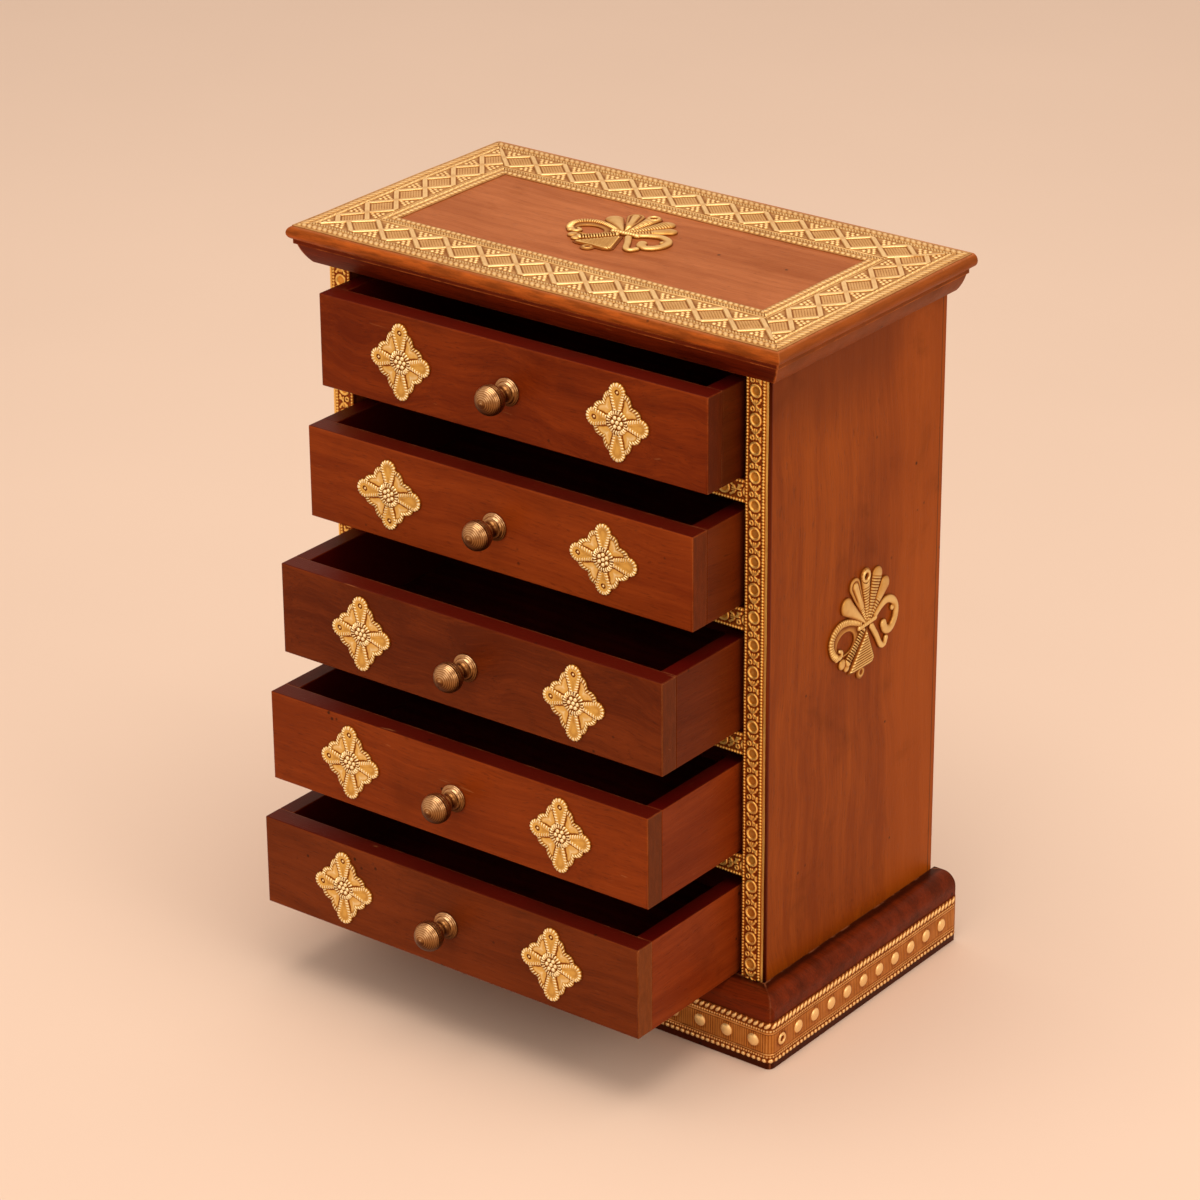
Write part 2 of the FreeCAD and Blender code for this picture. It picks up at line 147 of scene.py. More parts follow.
grainLook = {
    "seedStep": 173.0, "swirlScale": 0.012, "swirlReach": 44.0,
    # how much the fibres are drawn out, and then scale, detail and roughness of each noise, per millimetre
    "drawn": (0.035, 1.0, 1.0), "patchDrawn": (0.5, 1.0, 1.0), "poreDrawn": (0.08, 1.0, 1.0),
    "bands": (0.16, 4.0, 0.6), "fibres": (1.1, 3.0, 0.65), "patches": (0.020, 2.0, 0.5), "pores": (2.1, 1.0),
    "bandShare": 0.42, "fibreShare": 0.26, "patchShare": 0.32, "tone": (0.34, 0.68),
    "poreSpan": (0.60, 0.74), "poreColor": (0.012, 0.003, 0.001, 1), "poreTint": 0.6, "poreShare": 0.42,
    "fibreHeight": 0.5, "poreDepth": 0.8,
}


def makeWoodGrain():
    # long fibres run along X of the vector that comes in
    look = grainLook
    group, given, out = newGroup(
        "woodGrain",
        {"Vector": "Vector", "Dark": "Color", "Light": "Color", "Figure": "Float", "Seed": "Float"},
        {"Color": "Color", "Height": "Float", "Tone": "Float"})
    scaled = vectorCalc("MULTIPLY", given["Vector"], (1 / mm,) * 3)
    seedStep = times(given["Seed"], look["seedStep"])
    place = vectorCalc("ADD", scaled, joinXYZ(seedStep, seedStep, seedStep))
    # slow wandering of the fibres makes the swirls
    swirl = vectorCalc("SUBTRACT", noise(place, look["swirlScale"], colored=True), (0.5, 0.5, 0.5))
    reach = times(given["Figure"], look["swirlReach"])
    bent = vectorCalc("ADD", place, vectorCalc("MULTIPLY", swirl, joinXYZ(0.0, reach, reach)))
    stretched = vectorCalc("MULTIPLY", bent, look["drawn"])
    bands = noise(stretched, *look["bands"])
    fibres = noise(stretched, *look["fibres"])
    patches = noise(vectorCalc("MULTIPLY", place, look["patchDrawn"]), *look["patches"])
    pores = remap(noise(vectorCalc("MULTIPLY", bent, look["poreDrawn"]), *look["pores"]), *look["poreSpan"])
    tone = plus(times(bands, look["bandShare"]), times(fibres, look["fibreShare"]))
    tone = remap(plus(tone, times(patches, look["patchShare"])), *look["tone"])
    color = blendColors(tone, given["Dark"], given["Light"])
    poreColor = blendColors(look["poreTint"], given["Dark"], look["poreColor"])
    setInputs(out, {
        "Color": tinted(color, pores, look["poreShare"], poreColor), "Tone": tone,
        "Height": minus(times(fibres, look["fibreHeight"]), times(pores, look["poreDepth"]))})
    return group


edgeLook = {"samples": 6, "likeness": (0.985, 0.86), "breaks": (95.0, 4.0, 0.65), "breakSpan": (0.42, 0.62)}


def makeEdgeWear():
    # finds arrises by comparing a rounded normal with the true one, then breaks the line up
    look = edgeLook
    group, given, out = newGroup(
        "edgeWear", {"Vector": "Vector", "Radius": "Float", "Breaks": "Float"}, {"Edge": "Float"})
    rounded = addNode("ShaderNodeBevel", {"Radius": given["Radius"]}, samples=look["samples"]).outputs[0]
    flat = addNode("ShaderNodeNewGeometry").outputs["Normal"]
    likeness = addNode("ShaderNodeVectorMath", {0: rounded, 1: flat}, operation="DOT_PRODUCT").outputs[1]
    edge = remap(likeness, *look["likeness"])
    whole = remap(noise(given["Vector"], *look["breaks"]), *look["breakSpan"])
    keep = minus(1.0, times(given["Breaks"], minus(1.0, whole)))
    setInputs(out, {"Edge": calc("MULTIPLY", edge, keep, clamp=True)})
    return group


handlingLook = {
    "seedStep": 0.371, "smudge": (24.0, 5.0, 0.62, 0.4), "smudgeSpan": (0.52, 0.76),
    "specks": 150.0, "speckSpan": (0.16, 0.06), "rare": (60.0, 1.0), "rareSpan": (0.60, 0.68),
    "drawn": (60.0, 520.0, 520.0), "scratch": (1.0, 2.0, 0.6, 0.6), "scratchSpan": (0.70, 0.76),
    "patches": (40.0, 2.0), "patchSpan": (0.52, 0.64),
}


def makeHandling():
    # broad smudges, small dark specks and fine pale scratches of long use
    look = handlingLook
    group, given, out = newGroup(
        "handling", {"Vector": "Vector", "Seed": "Float"},
        {"Smudge": "Float", "Specks": "Float", "Scratches": "Float"})
    seedStep = times(given["Seed"], look["seedStep"])
    place = vectorCalc("ADD", given["Vector"], joinXYZ(seedStep, seedStep, seedStep))
    cells = addNode("ShaderNodeTexVoronoi", {"Vector": place, "Scale": look["specks"]}).outputs["Distance"]
    rare = remap(noise(place, *look["rare"]), *look["rareSpan"])
    drawn = vectorCalc("MULTIPLY", place, look["drawn"])
    thin = remap(noise(drawn, *look["scratch"]), *look["scratchSpan"])
    setInputs(out, {
        "Smudge": remap(noise(place, *look["smudge"]), *look["smudgeSpan"]),
        "Specks": times(remap(cells, *look["speckSpan"]), rare),
        "Scratches": times(thin, remap(noise(place, *look["patches"]), *look["patchSpan"]))})
    return group


ageLook = {
    "cloud": (180.0, 3.0, 0.6), "cloudShare": 0.24, "fine": (1500.0, 2.0, 0.6),
    # relief at which the patina ends, with no age and with full age, and over how much it fades
    "patinaEnd": 0.18, "patinaAged": 0.14, "patinaFade": 0.32, "crest": (0.52, 0.84),
    "tarnish": (55.0, 3.0, 0.6), "tarnishSpan": (0.52, 0.78),
    "rough": 0.50, "rubbedRough": 0.14, "fineRough": 0.10,
}


def makeBrassAge():
    # crests rub bright, hollows hold brown patina
    look = ageLook
    group, given, out = newGroup(
        "brassAge",
        {"Vector": "Vector", "Relief": "Float", "Bright": "Color", "Worn": "Color", "Patina": "Color",
         "Age": "Float"},
        {"Color": "Color", "Roughness": "Float", "Height": "Float"})
    cloud = noise(given["Vector"], *look["cloud"])
    fine = noise(given["Vector"], *look["fine"])
    stirred = plus(given["Relief"], times(minus(cloud, 0.5), look["cloudShare"]))
    low = plus(look["patinaEnd"], times(given["Age"], look["patinaAged"]))
    rubbed = remap(stirred, low, plus(low, look["patinaFade"]))
    color = blendColors(rubbed, given["Patina"], given["Worn"])
    color = blendColors(remap(stirred, *look["crest"]), color, given["Bright"])
    tarnish = remap(noise(given["Vector"], *look["tarnish"]), *look["tarnishSpan"])
    rough = minus(look["rough"], times(rubbed, look["rubbedRough"]))
    setInputs(out, {
        "Color": tinted(color, tarnish, given["Age"], given["Patina"]), "Height": fine,
        "Roughness": plus(rough, times(fine, look["fineRough"]))})
    return group


woodGrain = makeWoodGrain()
edgeWear = makeEdgeWear()
handling = makeHandling()
brassAge = makeBrassAge()
print("shared effects made")


# finishes

soot = (0.010, 0.004, 0.002, 1.0)
woodCommon = {
    "axis": "x", "figure": 0.3, "wear": 0.4, "smudge": 0.3, "polish": 0.5,
    "edgeRadius": 0.0011, "edgeBreaks": 0.8, "specks": 0.8, "scratches": 0.35,
    "smudgeRough": 0.10, "toneRough": 0.06, "bump": 0.2, "bumpDepth": 0.0003,
    "specular": 0.11, "specularTint": (1.0, 0.55, 0.24, 1.0),
}
# in millimetres: depth of the seam and of the painted shade at the arris, height of the painted shade at the
# foot, reach of the painted shadow under the eaves and of the dirt and painted shade on the plinth
woodLooks = {
    "topWood": {"dark": paint(146, 74, 34), "light": paint(178, 100, 54), "figure": 0.35, "seed": 1.0,
                "worn": paint(206, 118, 58), "wear": 0.45, "smudge": 0.10, "nose": paint(166, 78, 24),
                "noseAside": paint(142, 68, 20)},
    "corniceWood": {"dark": paint(62, 8, 1), "light": paint(118, 36, 7), "seed": 2.0,
                    "worn": paint(196, 104, 44), "wear": 0.75, "aside": paint(132, 60, 13)},
    # the side panels' worn colour is darker than their wood, so their arrises come out darker: painted shade,
    # as on the shaded front arris
    "sideWood": {"dark": paint(122, 48, 3), "light": paint(154, 70, 8), "axis": "z", "figure": 0.4,
                 "seed": 3.0, "worn": paint(104, 30, 8), "wear": 0.7, "polish": 0.42,
                 "seam": 62.2, "arris": -63.2, "eaves": 30.0},
    "plinthWood": {"dark": paint(70, 20, 4), "light": paint(118, 39, 10), "seed": 4.0,
                   "worn": paint(150, 84, 50), "smudge": 0.35, "polish": 0.38, "dirtAndShade": 5.0, "foot": 3.6},
    "innerWood": {"dark": paint(50, 4, 2), "light": paint(84, 14, 6), "seed": 5.0,
                  "worn": paint(120, 50, 24)},
    "backWood": {"dark": paint(96, 40, 14), "light": paint(132, 62, 26), "axis": "z", "figure": 0.4,
                 "seed": 7.0, "worn": paint(156, 92, 52)},
}
# the five fronts were cut from different boards; the pairs of sides share one wood colour, in painted shade
frontCommon = {"worn": paint(186, 116, 66), "wear": 0.55, "polish": 0.42, "hidden": paint(80, 14, 5)}
frontKeys = ("dark", "light", "ends", "figure", "smudge")
frontBoards = (
    (paint(98, 28, 4), paint(134, 50, 10), paint(86, 26, 4), 1.0, 0.25),
    (paint(114, 38, 6), paint(144, 58, 14), paint(104, 39, 8), 0.4, 0.18),
    (paint(86, 28, 6), paint(120, 48, 14), paint(102, 40, 9), 0.8, 0.22),
    (paint(114, 40, 7), paint(144, 58, 14), paint(104, 44, 12), 0.4, 0.20),
    (paint(94, 34, 7), paint(122, 50, 15), paint(126, 60, 21), 0.5, 0.25),
)
sideCommon = {"axis": "y", "worn": paint(166, 90, 48), "smudge": 0.25, "polish": 0.44,
              "hidden": paint(74, 6, 3)}
sideDark, sideLight = paint(106, 34, 6), paint(134, 52, 14)
# painted shade and light: the sides of drawers 1 to 3 are darker copies of the side wood, drawer 5's a little
# lighter
sideShades = (0.36, 0.54, 0.60, 1.0, 1.06)
for number, board, shade in zip(drawerNumbers, frontBoards, sideShades):
    woodLooks["frontWood%d" % number] = dict(frontCommon, seed=10.0 + number, **dict(zip(frontKeys, board)))
    woodLooks["sideWood%d" % number] = dict(sideCommon, seed=20.0 + number, dark=shaded(sideDark, shade),
                                            light=shaded(sideLight, shade))


def grainVector(place, axis):
    part = splitXYZ(place)
    order = {"x": (0, 1, 2), "y": (1, 0, 2), "z": (2, 0, 1)}[axis]
    return joinXYZ(*(part[source] for source in order))


def mottled(tone, color, shades):
    return blendColors(tone, *(shaded(color, shade) for shade in shades))


# what differs from face to face of one board: spans of a direction, or of a place in metres, soft edges in
# millimetres, shares of a tint and shades

featureLooks = {
    "nose": {"drawn": (55.0, 55.0, 420.0), "streaks": (1.0, 5.0, 0.65), "tone": (0.34, 0.68),
             "start": (0.92, 0.70), "shades": (0.58, 1.25), "side": (0.15, 0.4), "sideShades": (0.82, 1.10)},
    "ends": {"drawn": (500.0, 500.0, 140.0), "streaks": (1.0, 4.0, 0.7), "tone": (0.3, 0.75),
             "side": (0.75, 0.9), "shades": (0.7, 1.0)},
    "hidden": {"turn": (0.75, 0.9)},
    "eaves": {"waves": 24.0, "pale": (0.028, 0.056), "paleShare": 0.45, "paleShade": 1.2, "past": 0.2,
              "shadowShare": 0.7, "shadowShade": 0.8},
    "seam": {"behind": (-0.0002, 0.0002), "behindShare": 0.35, "line": (0.0004, 0.0001), "lineShare": 0.7},
    "aside": {"clouds": (90.0, 4.0), "tone": (0.3, 0.7), "shades": (0.75, 1.0), "side": (0.3, 0.6)},
    "arris": {"soft": 0.3, "share": 0.85, "shade": 0.8},
    "foot": {"soft": 0.4, "share": 0.8, "shade": 0.6},
    "dirtAndShade": {"clouds": (45.0, 3.0), "spread": 0.6, "grimeAndShadeShare": 0.8, "grimeAndShadeFactor": 0.25,
             "joint": (0.0011, 0.0004), "mitre": (0.0009, 0.0002),
             "dust": (120.0, 4.0), "dustSpan": (0.48, 0.62), "dustShare": 0.6},
}


def streaks(how, spot):
    return remap(noise(vectorCalc("MULTIPLY", spot.place, how["drawn"]), *how["streaks"]), *how["tone"])


def noseColor(look, how, color, spot):
    tone = streaks(how, spot)
    front = mottled(tone, look["nose"], how["shades"])
    side = mottled(tone, look["noseAside"], how["sideShades"])
    nose = blendColors(remap(unsigned(spot.facing[0]), *how["side"]), front, side)
    return blendColors(remap(spot.facing[2], *how["start"]), color, nose)


def endsColor(look, how, color, spot):
    sawn = remap(unsigned(spot.facing[0]), *how["side"])
    return blendColors(sawn, color, mottled(streaks(how, spot), look["ends"], how["shades"]))


def hiddenColor(look, how, color, spot):
    # upper edges and inner faces keep the old dark red stain
    if look["axis"] == "x":
        inward = spot.facing[1]
    else:
        inward = times(-1.0, times(calc("SIGN", spot.part[0]), spot.facing[0]))
    stained = larger(remap(spot.facing[2], *how["turn"]), remap(inward, *how["turn"]))
    return blendColors(stained, color, look["hidden"])


def eavesColor(look, how, color, spot):
    # painted shadow: a darker wavy band under the cornice; and paler towards the back
    under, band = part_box("cornice_right")[0][2], look["eaves"] * mm
    wave = times(noise(spot.place, how["waves"]), band)
    pale = remap(plus(spot.part[1], wave), *how["pale"])
    color = tinted(color, pale, how["paleShare"], shaded(look["light"], how["paleShade"]))
    eavesShadow = remap(plus(spot.part[2], wave), under - band, under + how["past"] * band)
    eavesShadow = times(eavesShadow, minus(1.0, pale))
    return tinted(color, eavesShadow, how["shadowShare"], shaded(look["dark"], how["shadowShade"]))


def seamColor(look, how, color, spot):
    # joint of the back lipping, a thin dark line with paler wood behind it
    past = minus(spot.part[1], look["seam"] * mm)
    color = tinted(color, remap(past, *how["behind"]), how["behindShare"], look["light"])
    return tinted(color, remap(unsigned(past), *how["line"]), how["lineShare"], soot)


def asideColor(look, how, color, spot):
    # the runs along the sides take their own mottled colour, lighter than the front run
    faded = mottled(remap(noise(spot.place, *how["clouds"]), *how["tone"]), look["aside"], how["shades"])
    return blendColors(remap(unsigned(spot.facing[0]), *how["side"]), color, faded)


def arrisColor(look, how, color, spot):
    # painted shade: a darker band along the side panel's rounded front arris
    before = remap(spot.part[1], (look["arris"] + how["soft"]) * mm, (look["arris"] - how["soft"]) * mm)
    return tinted(color, before, how["share"], shaded(look["worn"], how["shade"]))


def footColor(look, how, color, spot):
    # painted shade: the plinth is darker along its bottom, where it meets the floor
    below = remap(spot.part[2], (look["foot"] + how["soft"]) * mm, (look["foot"] - how["soft"]) * mm)
    return tinted(color, below, how["share"], shaded(look["dark"], how["shade"]))


def dirtAndShadeColor(look, how, color, spot):
    # grime with painted shade darkens the plinth top next to the carcass, and a pale dusty line runs where
    # the plinth meets the carcass and in its mitres
    panel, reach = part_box("side_panel_right")[1], look["dirtAndShade"] * mm
    outX, outY = (minus(unsigned(spot.part[index]), panel[index]) for index in (0, 1))
    out = larger(outX, outY)
    grimeAndShade = remap(minus(out, times(noise(spot.place, *how["clouds"]), reach)), how["spread"] * reach, 0.0)
    color = tinted(color, grimeAndShade, how["grimeAndShadeShare"], shaded(look["dark"], how["grimeAndShadeFactor"]))
    lines = larger(remap(out, *how["joint"]), remap(unsigned(minus(outX, outY)), *how["mitre"]))
    dust = times(lines, remap(noise(spot.place, *how["dust"]), *how["dustSpan"]))
    return tinted(color, dust, how["dustShare"], look["worn"])


localColors = {"nose": noseColor, "ends": endsColor, "hidden": hiddenColor, "eaves": eavesColor,
               "seam": seamColor, "aside": asideColor, "arris": arrisColor, "foot": footColor,
               "dirtAndShade": dirtAndShadeColor}


def bumpNormal(height, strength, depth):
    return addNode("ShaderNodeBump", {"Height": height, "Strength": strength, "Distance": depth}).outputs[0]


def woodMaterial(name, look):
    look = {**woodCommon, **look}
    material, shader = newMaterial(name)
    coords = addNode("ShaderNodeTexCoord").outputs
    place = coords["Object"]
    grained = grainVector(place, look["axis"])
    grain = useGroup(woodGrain, {"Vector": grained, "Dark": look["dark"], "Light": look["light"],
                                 "Figure": look["figure"], "Seed": look["seed"]})
    use = useGroup(handling, {"Vector": grained, "Seed": look["seed"]})
    edge = useGroup(edgeWear, {"Vector": place, "Radius": look["edgeRadius"],
                               "Breaks": look["edgeBreaks"]})["Edge"]
    spot = SimpleNamespace(place=place, part=splitXYZ(place), facing=splitXYZ(coords["Normal"]))
    color = grain["Color"]
    for feature, recolor in localColors.items():
        if feature in look:
            color = recolor(look, featureLooks[feature], color, spot)
    color = tinted(color, use["Smudge"], look["smudge"], soot)
    color = tinted(color, use["Specks"], look["specks"], soot)
    color = tinted(color, use["Scratches"], look["scratches"], look["worn"])
    rough = plus(look["polish"], times(use["Smudge"], look["smudgeRough"]))
    setInputs(shader, {
        "Base Color": tinted(color, edge, look["wear"], look["worn"]),
        "Roughness": minus(rough, times(grain["Tone"], look["toneRough"])),
        "Normal": bumpNormal(grain["Height"], look["bump"], look["bumpDepth"]),
        "Specular IOR Level": look["specular"], "Specular Tint": look["specularTint"]})
    return material


brassCommon = {"metal": 0.9, "gloss": 0.0, "age": 0.2, "bump": 0.25, "bumpDepth": 0.00006}
brassLooks = {
    # tones: rubbed bright, worn, and the patina in the hollows
    "borderBrass": {"tones": (paint(252, 228, 170), paint(220, 177, 110), paint(148, 93, 36))},
    "stampedBrass": {"tones": (paint(255, 243, 198), paint(230, 187, 96), paint(142, 74, 10))},
    "stileBrass": {"tones": (paint(255, 208, 112), paint(216, 138, 36), paint(138, 60, 6)), "metal": 0.75},
    "plinthBrass": {"tones": (paint(252, 216, 150), paint(198, 130, 58), paint(124, 60, 14)), "age": 0.25},
    "plumeBrass": {"tones": (paint(234, 202, 134), paint(198, 147, 73), paint(136, 74, 18)), "age": 0.25},
    "turnedBrass": {"tones": (paint(208, 172, 128), paint(146, 101, 56), paint(84, 46, 19)),
                    "age": 0.35, "metal": 1.0, "gloss": 0.13},
    "nutBrass": {"tones": (paint(200, 150, 88), paint(160, 110, 58), paint(84, 48, 22)),
                 "age": 0.6, "relief": 0.5},
}


def brassMaterial(name, look):
    look = {**brassCommon, **look}
    material, shader = newMaterial(name)
    place = addNode("ShaderNodeTexCoord").outputs["Object"]
    # stamped meshes carry their relief, plain ones have one value
    if "relief" in look:
        relief = look["relief"]
    else:
        relief = addNode("ShaderNodeAttribute", attribute_name="relief").outputs["Fac"]
    age = useGroup(brassAge, {"Vector": place, "Relief": relief, "Age": look["age"],
                              **dict(zip(("Bright", "Worn", "Patina"), look["tones"]))})
    setInputs(shader, {
        "Base Color": age["Color"], "Roughness": minus(age["Roughness"], look["gloss"]),
        "Normal": bumpNormal(age["Height"], look["bump"], look["bumpDepth"]), "Metallic": look["metal"]})
    return material


finishes = {name: woodMaterial(name, look) for name, look in woodLooks.items()}
finishes.update({name: brassMaterial(name, look) for name, look in brassLooks.items()})
print("finishes made:", len(finishes))


# boards: eased copies where the arrises show, CAD meshes elsewhere

boardLook = {
    # millimetres and degrees: easing, shortest eased edge, sharpest uneased edge, flat enough to be one face
    "ease": 0.45, "frontEase": 1.5, "shortest": 2.0, "sharp": 30.0, "flat": 0.5, "segments": 3, "weld": 0.01,
    "levelWeight": 100,
    "plain": {"top_board": "topWood", "carcass_top": "innerWood", "base_board": "innerWood",
              "bottom_panel": "innerWood", "back_panel": "backWood"},
}


def addPiece(name, mesh, body, stoodFor, place=None):
    piece = bpy.data.objects.new(name, mesh)
    bpy.context.scene.collection.objects.link(piece)
    if place is not None:
        piece.matrix_world = place
    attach(piece, body)
    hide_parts(stoodFor)
    return piece


def meshFrom(build, name, finish):
    mesh = bpy.data.meshes.new(name)
    build.to_mesh(mesh)
    build.free()
    mesh.shade_smooth()
    mesh.materials.append(finishes[finish])
    return mesh


def easedBoard(node, finish, body, ease=boardLook["ease"]):
    look = boardLook
    build = bmesh.new()
    build.from_mesh(nodes[node].data)
    bmesh.ops.remove_doubles(build, verts=build.verts, dist=1e-6)
    bmesh.ops.dissolve_limit(build, angle_limit=math.radians(look["flat"]), verts=build.verts,
                             edges=build.edges)
    # long arrises are eased, the short edges round bored holes stay
    weight = build.edges.layers.float.new("bevel_weight_edge")
    sharp = math.radians(look["sharp"])
    for edge in build.edges:
        if edge.calc_length() > look["shortest"] * mm and edge.calc_face_angle(0.0) > sharp:
            edge[weight] = 1.0
    piece = addPiece(node + "_eased", meshFrom(build, node + "_eased", finish), body, node)
    bevel = piece.modifiers.new("ease", "BEVEL")
    bevel.width = ease * mm
    bevel.segments = look["segments"]
    bevel.limit_method = "WEIGHT"
    weld = piece.modifiers.new("weld", "WELD")
    weld.merge_threshold = look["weld"] * mm
    # broad faces stay flat, the eased arrises take up the turn
    level = piece.modifiers.new("level", "WEIGHTED_NORMAL")
    level.weight = look["levelWeight"]


def dress(node, finish):
    nodes[node].data.materials.clear()
    nodes[node].data.materials.append(finishes[finish])


for node, finish in boardLook["plain"].items():
    dress(node, finish)
for number in dividerNumbers:
    dress("divider_%d" % number, "innerWood")
for side in ("front", "left", "right"):
    dress("cornice_" + side, "corniceWood")
    dress("plinth_" + side, "plinthWood")
for side in ("left", "right"):
    easedBoard("side_panel_" + side, "sideWood", "carcass")
for number in drawerNumbers:
    drawer = "drawer_%d" % number
    easedBoard(drawer + "_front", "frontWood%d" % number, drawer, boardLook["frontEase"])
    easedBoard(drawer + "_sides", "sideWood%d" % number, drawer)
    easedBoard(drawer + "_back", "innerWood", drawer)
    dress(drawer + "_bottom", "innerWood")
    dress(drawer + "_knob_nut", "nutBrass")
print("boards finished")


# stamped sheet brass: a height field inside an outline, with a rim and a flat back

stampLook = {
    # how far a crest's neighbourhood reaches, and how much it and the whole count for the shine
    "reach": 0.8, "local": 1.3, "whole": 0.3, "blurRounds": 2.5, "backShine": 0.6, "sharp": 50.0,
    # cells outside the span before and after it, and how near a grid point the rim may come
    "before": 1.37, "after": 2.0, "rimGap": 0.02,
    # uneven hand-fed stamping: lengths of two waves, share and lead of the second; gap at square ends
    "waves": (17.0, 7.3), "second": 0.6, "lead": 2.1, "endGap": 0.05,
}


def dome(squared):
    return np.sqrt(np.clip(1.0 - squared, 0.0, None))


def softStep(value, low, high):
    t = np.clip((value - low) / (high - low), 0.0, 1.0)
    return t * t * (3.0 - 2.0 * t)


def highest(*fields):
    return np.maximum.reduce(fields)


def nearestStep(along, pitch):
    # distance from the middle of the repeat that the point is in
    return ((along / pitch) % 1.0 - 0.5) * pitch


def wander(along, amount, seed):
    first, second = stampLook["waves"]
    lead = stampLook["lead"] * seed
    return amount * (np.sin(along / first + seed) + stampLook["second"] * np.sin(along / second + lead))


def blurred(field, rounds):
    for _ in range(rounds):
        padded = np.pad(field, 1, mode="edge")
        ahead, behind = padded[2:, 1:-1], padded[:-2, 1:-1]
        field = 0.2 * (field + ahead + behind + padded[1:-1, 2:] + padded[1:-1, :-2])
    return field


def numbered(mask, first):
    numbers = np.full(mask.shape, -1)
    numbers[mask] = first + np.arange(mask.sum())
    return numbers


def loopSides(loop):
    return list(zip(loop, loop[1:] + loop[:1]))


def backTriangles(points, seams):
    # the sheet lies to the left of its rim; holes lie to the right and stay open
    _, _, triangles, sources, _, _ = delaunay_2d_cdt(points, seams, [], 1, 1e-7)
    back = [[sources[corner][0] for corner in three] for three in triangles
            if all(sources[corner] for corner in three)]
    leftOf = {side: number for number, three in enumerate(back) for side in loopSides(three)}
    cut = set(seams)
    waiting = [leftOf[side] for side in seams if side in leftOf]
    kept = set()
    while waiting:
        number = waiting.pop()
        if number not in kept:
            kept.add(number)
            waiting += [leftOf[(v, u)] for u, v in loopSides(back[number])
                        if (u, v) not in cut and (v, u) in leftOf]
    return [back[number] for number in sorted(kept)]


def stampedMesh(name, outline, height, spans, cell, finish, shine=None, fold=None):
    # outline is below zero inside; both take arrays of along and across in millimetres
    look = stampLook
    cells = cell if isinstance(cell, tuple) else (cell, cell)
    lines = [np.arange(low - look["before"] * step, high + look["after"] * step, step)
             for (low, high), step in zip(spans, cells)]
    a, b = np.meshgrid(*lines, indexing="ij")
    edge, field = outline(a, b), height(a, b)
    inside = edge < 0.0
    # crests stand above their neighbourhood and above the middle of the whole
    rounds = round(look["blurRounds"] * look["reach"] ** 2 / (cells[0] * cells[1])) + 1
    crest = 0.5 + look["local"] * (field - blurred(field, rounds))
    crest += look["whole"] * (field - field[inside].mean())
    crest = np.clip(crest if shine is None else crest + shine(a, b), 0.0, 1.0)
    # points inside, and then points where the outline crosses the grid lines of either direction
    crossA = inside[:-1, :] != inside[1:, :]
    crossB = inside[:, :-1] != inside[:, 1:]
    numbers = numbered(inside, 0)
    first = int(inside.sum())
    numbersA = numbered(crossA, first)
    numbersB = numbered(crossB, first + int(crossA.sum()))

    def crossing(near, far, cross):
        # kept a little off the grid points, so that no face is a mere sliver
        return np.clip((near / (near - far + 1e-12))[cross], look["rimGap"], 1.0 - look["rimGap"])

    shareA = crossing(edge[:-1, :], edge[1:, :], crossA)
    shareB = crossing(edge[:, :-1], edge[:, 1:], crossB)
    flatA = np.concatenate([a[inside], a[:-1, :][crossA] + shareA * cells[0], a[:, :-1][crossB]])
    flatB = np.concatenate([b[inside], b[:-1, :][crossA], b[:, :-1][crossB] + shareB * cells[1]])
    bright = np.concatenate([crest[inside], 0.5 * (crest[:-1, :] + crest[1:, :])[crossA],
                             0.5 * (crest[:, :-1] + crest[:, 1:])[crossB]])
    corners = np.stack([numbers[:-1, :-1], numbers[1:, :-1], numbers[1:, 1:], numbers[:-1, 1:]], axis=-1)
    cuts = np.stack([numbersA[:, :-1], numbersB[1:, :], numbersA[:, 1:], numbersB[:-1, :]], axis=-1)
    whole = (corners >= 0).all(axis=-1)
    partly = (corners >= 0).any(axis=-1) & ~whole
    faces = corners[whole].tolist()
    rim = []
    for pairs in np.stack([corners[partly], cuts[partly]], axis=-1).tolist():
        loop = [point for pair in pairs for point in pair if point >= 0]
        faces.append(loop)
        rim += [(u, v) for u, v in loopSides(loop) if u >= first and v >= first]
    # rim walls and back
    order = list(dict.fromkeys(point for side in rim for point in side))
    local = {point: index for index, point in enumerate(order)}
    seams = [(local[u], local[v]) for u, v in rim]
    base = len(flatA)
    faces += [[v, u, base + local[u], base + local[v]] for u, v in rim]
    flat = [Vector((flatA[point], flatB[point])) for point in order]
    faces += [[base + corner for corner in reversed(three)] for three in backTriangles(flat, seams)]
    tall = np.concatenate([height(flatA, flatB), np.zeros(len(order))])
    along, across = (np.concatenate([part, part[order]]) for part in (flatA, flatB))
    points = np.stack([along, across, tall], axis=1)
    if fold is not None:
        points = fold(points)
    mesh = bpy.data.meshes.new(name)
    mesh.from_pydata((points * mm).tolist(), [], faces)
    relief = mesh.attributes.new("relief", "FLOAT", "POINT")
    relief.data.foreach_set("value", np.concatenate([bright, bright[order] * look["backShine"]]))
    mesh.shade_smooth()
    mesh.set_sharp_from_angle(angle=math.radians(look["sharp"]))
    mesh.materials.append(finishes[finish])
    return mesh


def layOn(origin, along, across):
    # origin in millimetres; the stamped side faces along x across
    along, across = Vector(along), Vector(across)
    place = Matrix((along, across, along.cross(across))).transposed().to_4x4()
    place.translation = Vector(origin) * mm
    return place


def inMillimetres(box):
    return [[value / mm for value in corner] for corner in box]


def beadRow(along, across, centre, pitch, halfLong, halfWide, high, slant=0.0):
    aside = across - centre
    step = nearestStep(along + slant * aside, pitch)
    return high * dome((step / halfLong) ** 2 + (aside / halfWide) ** 2)


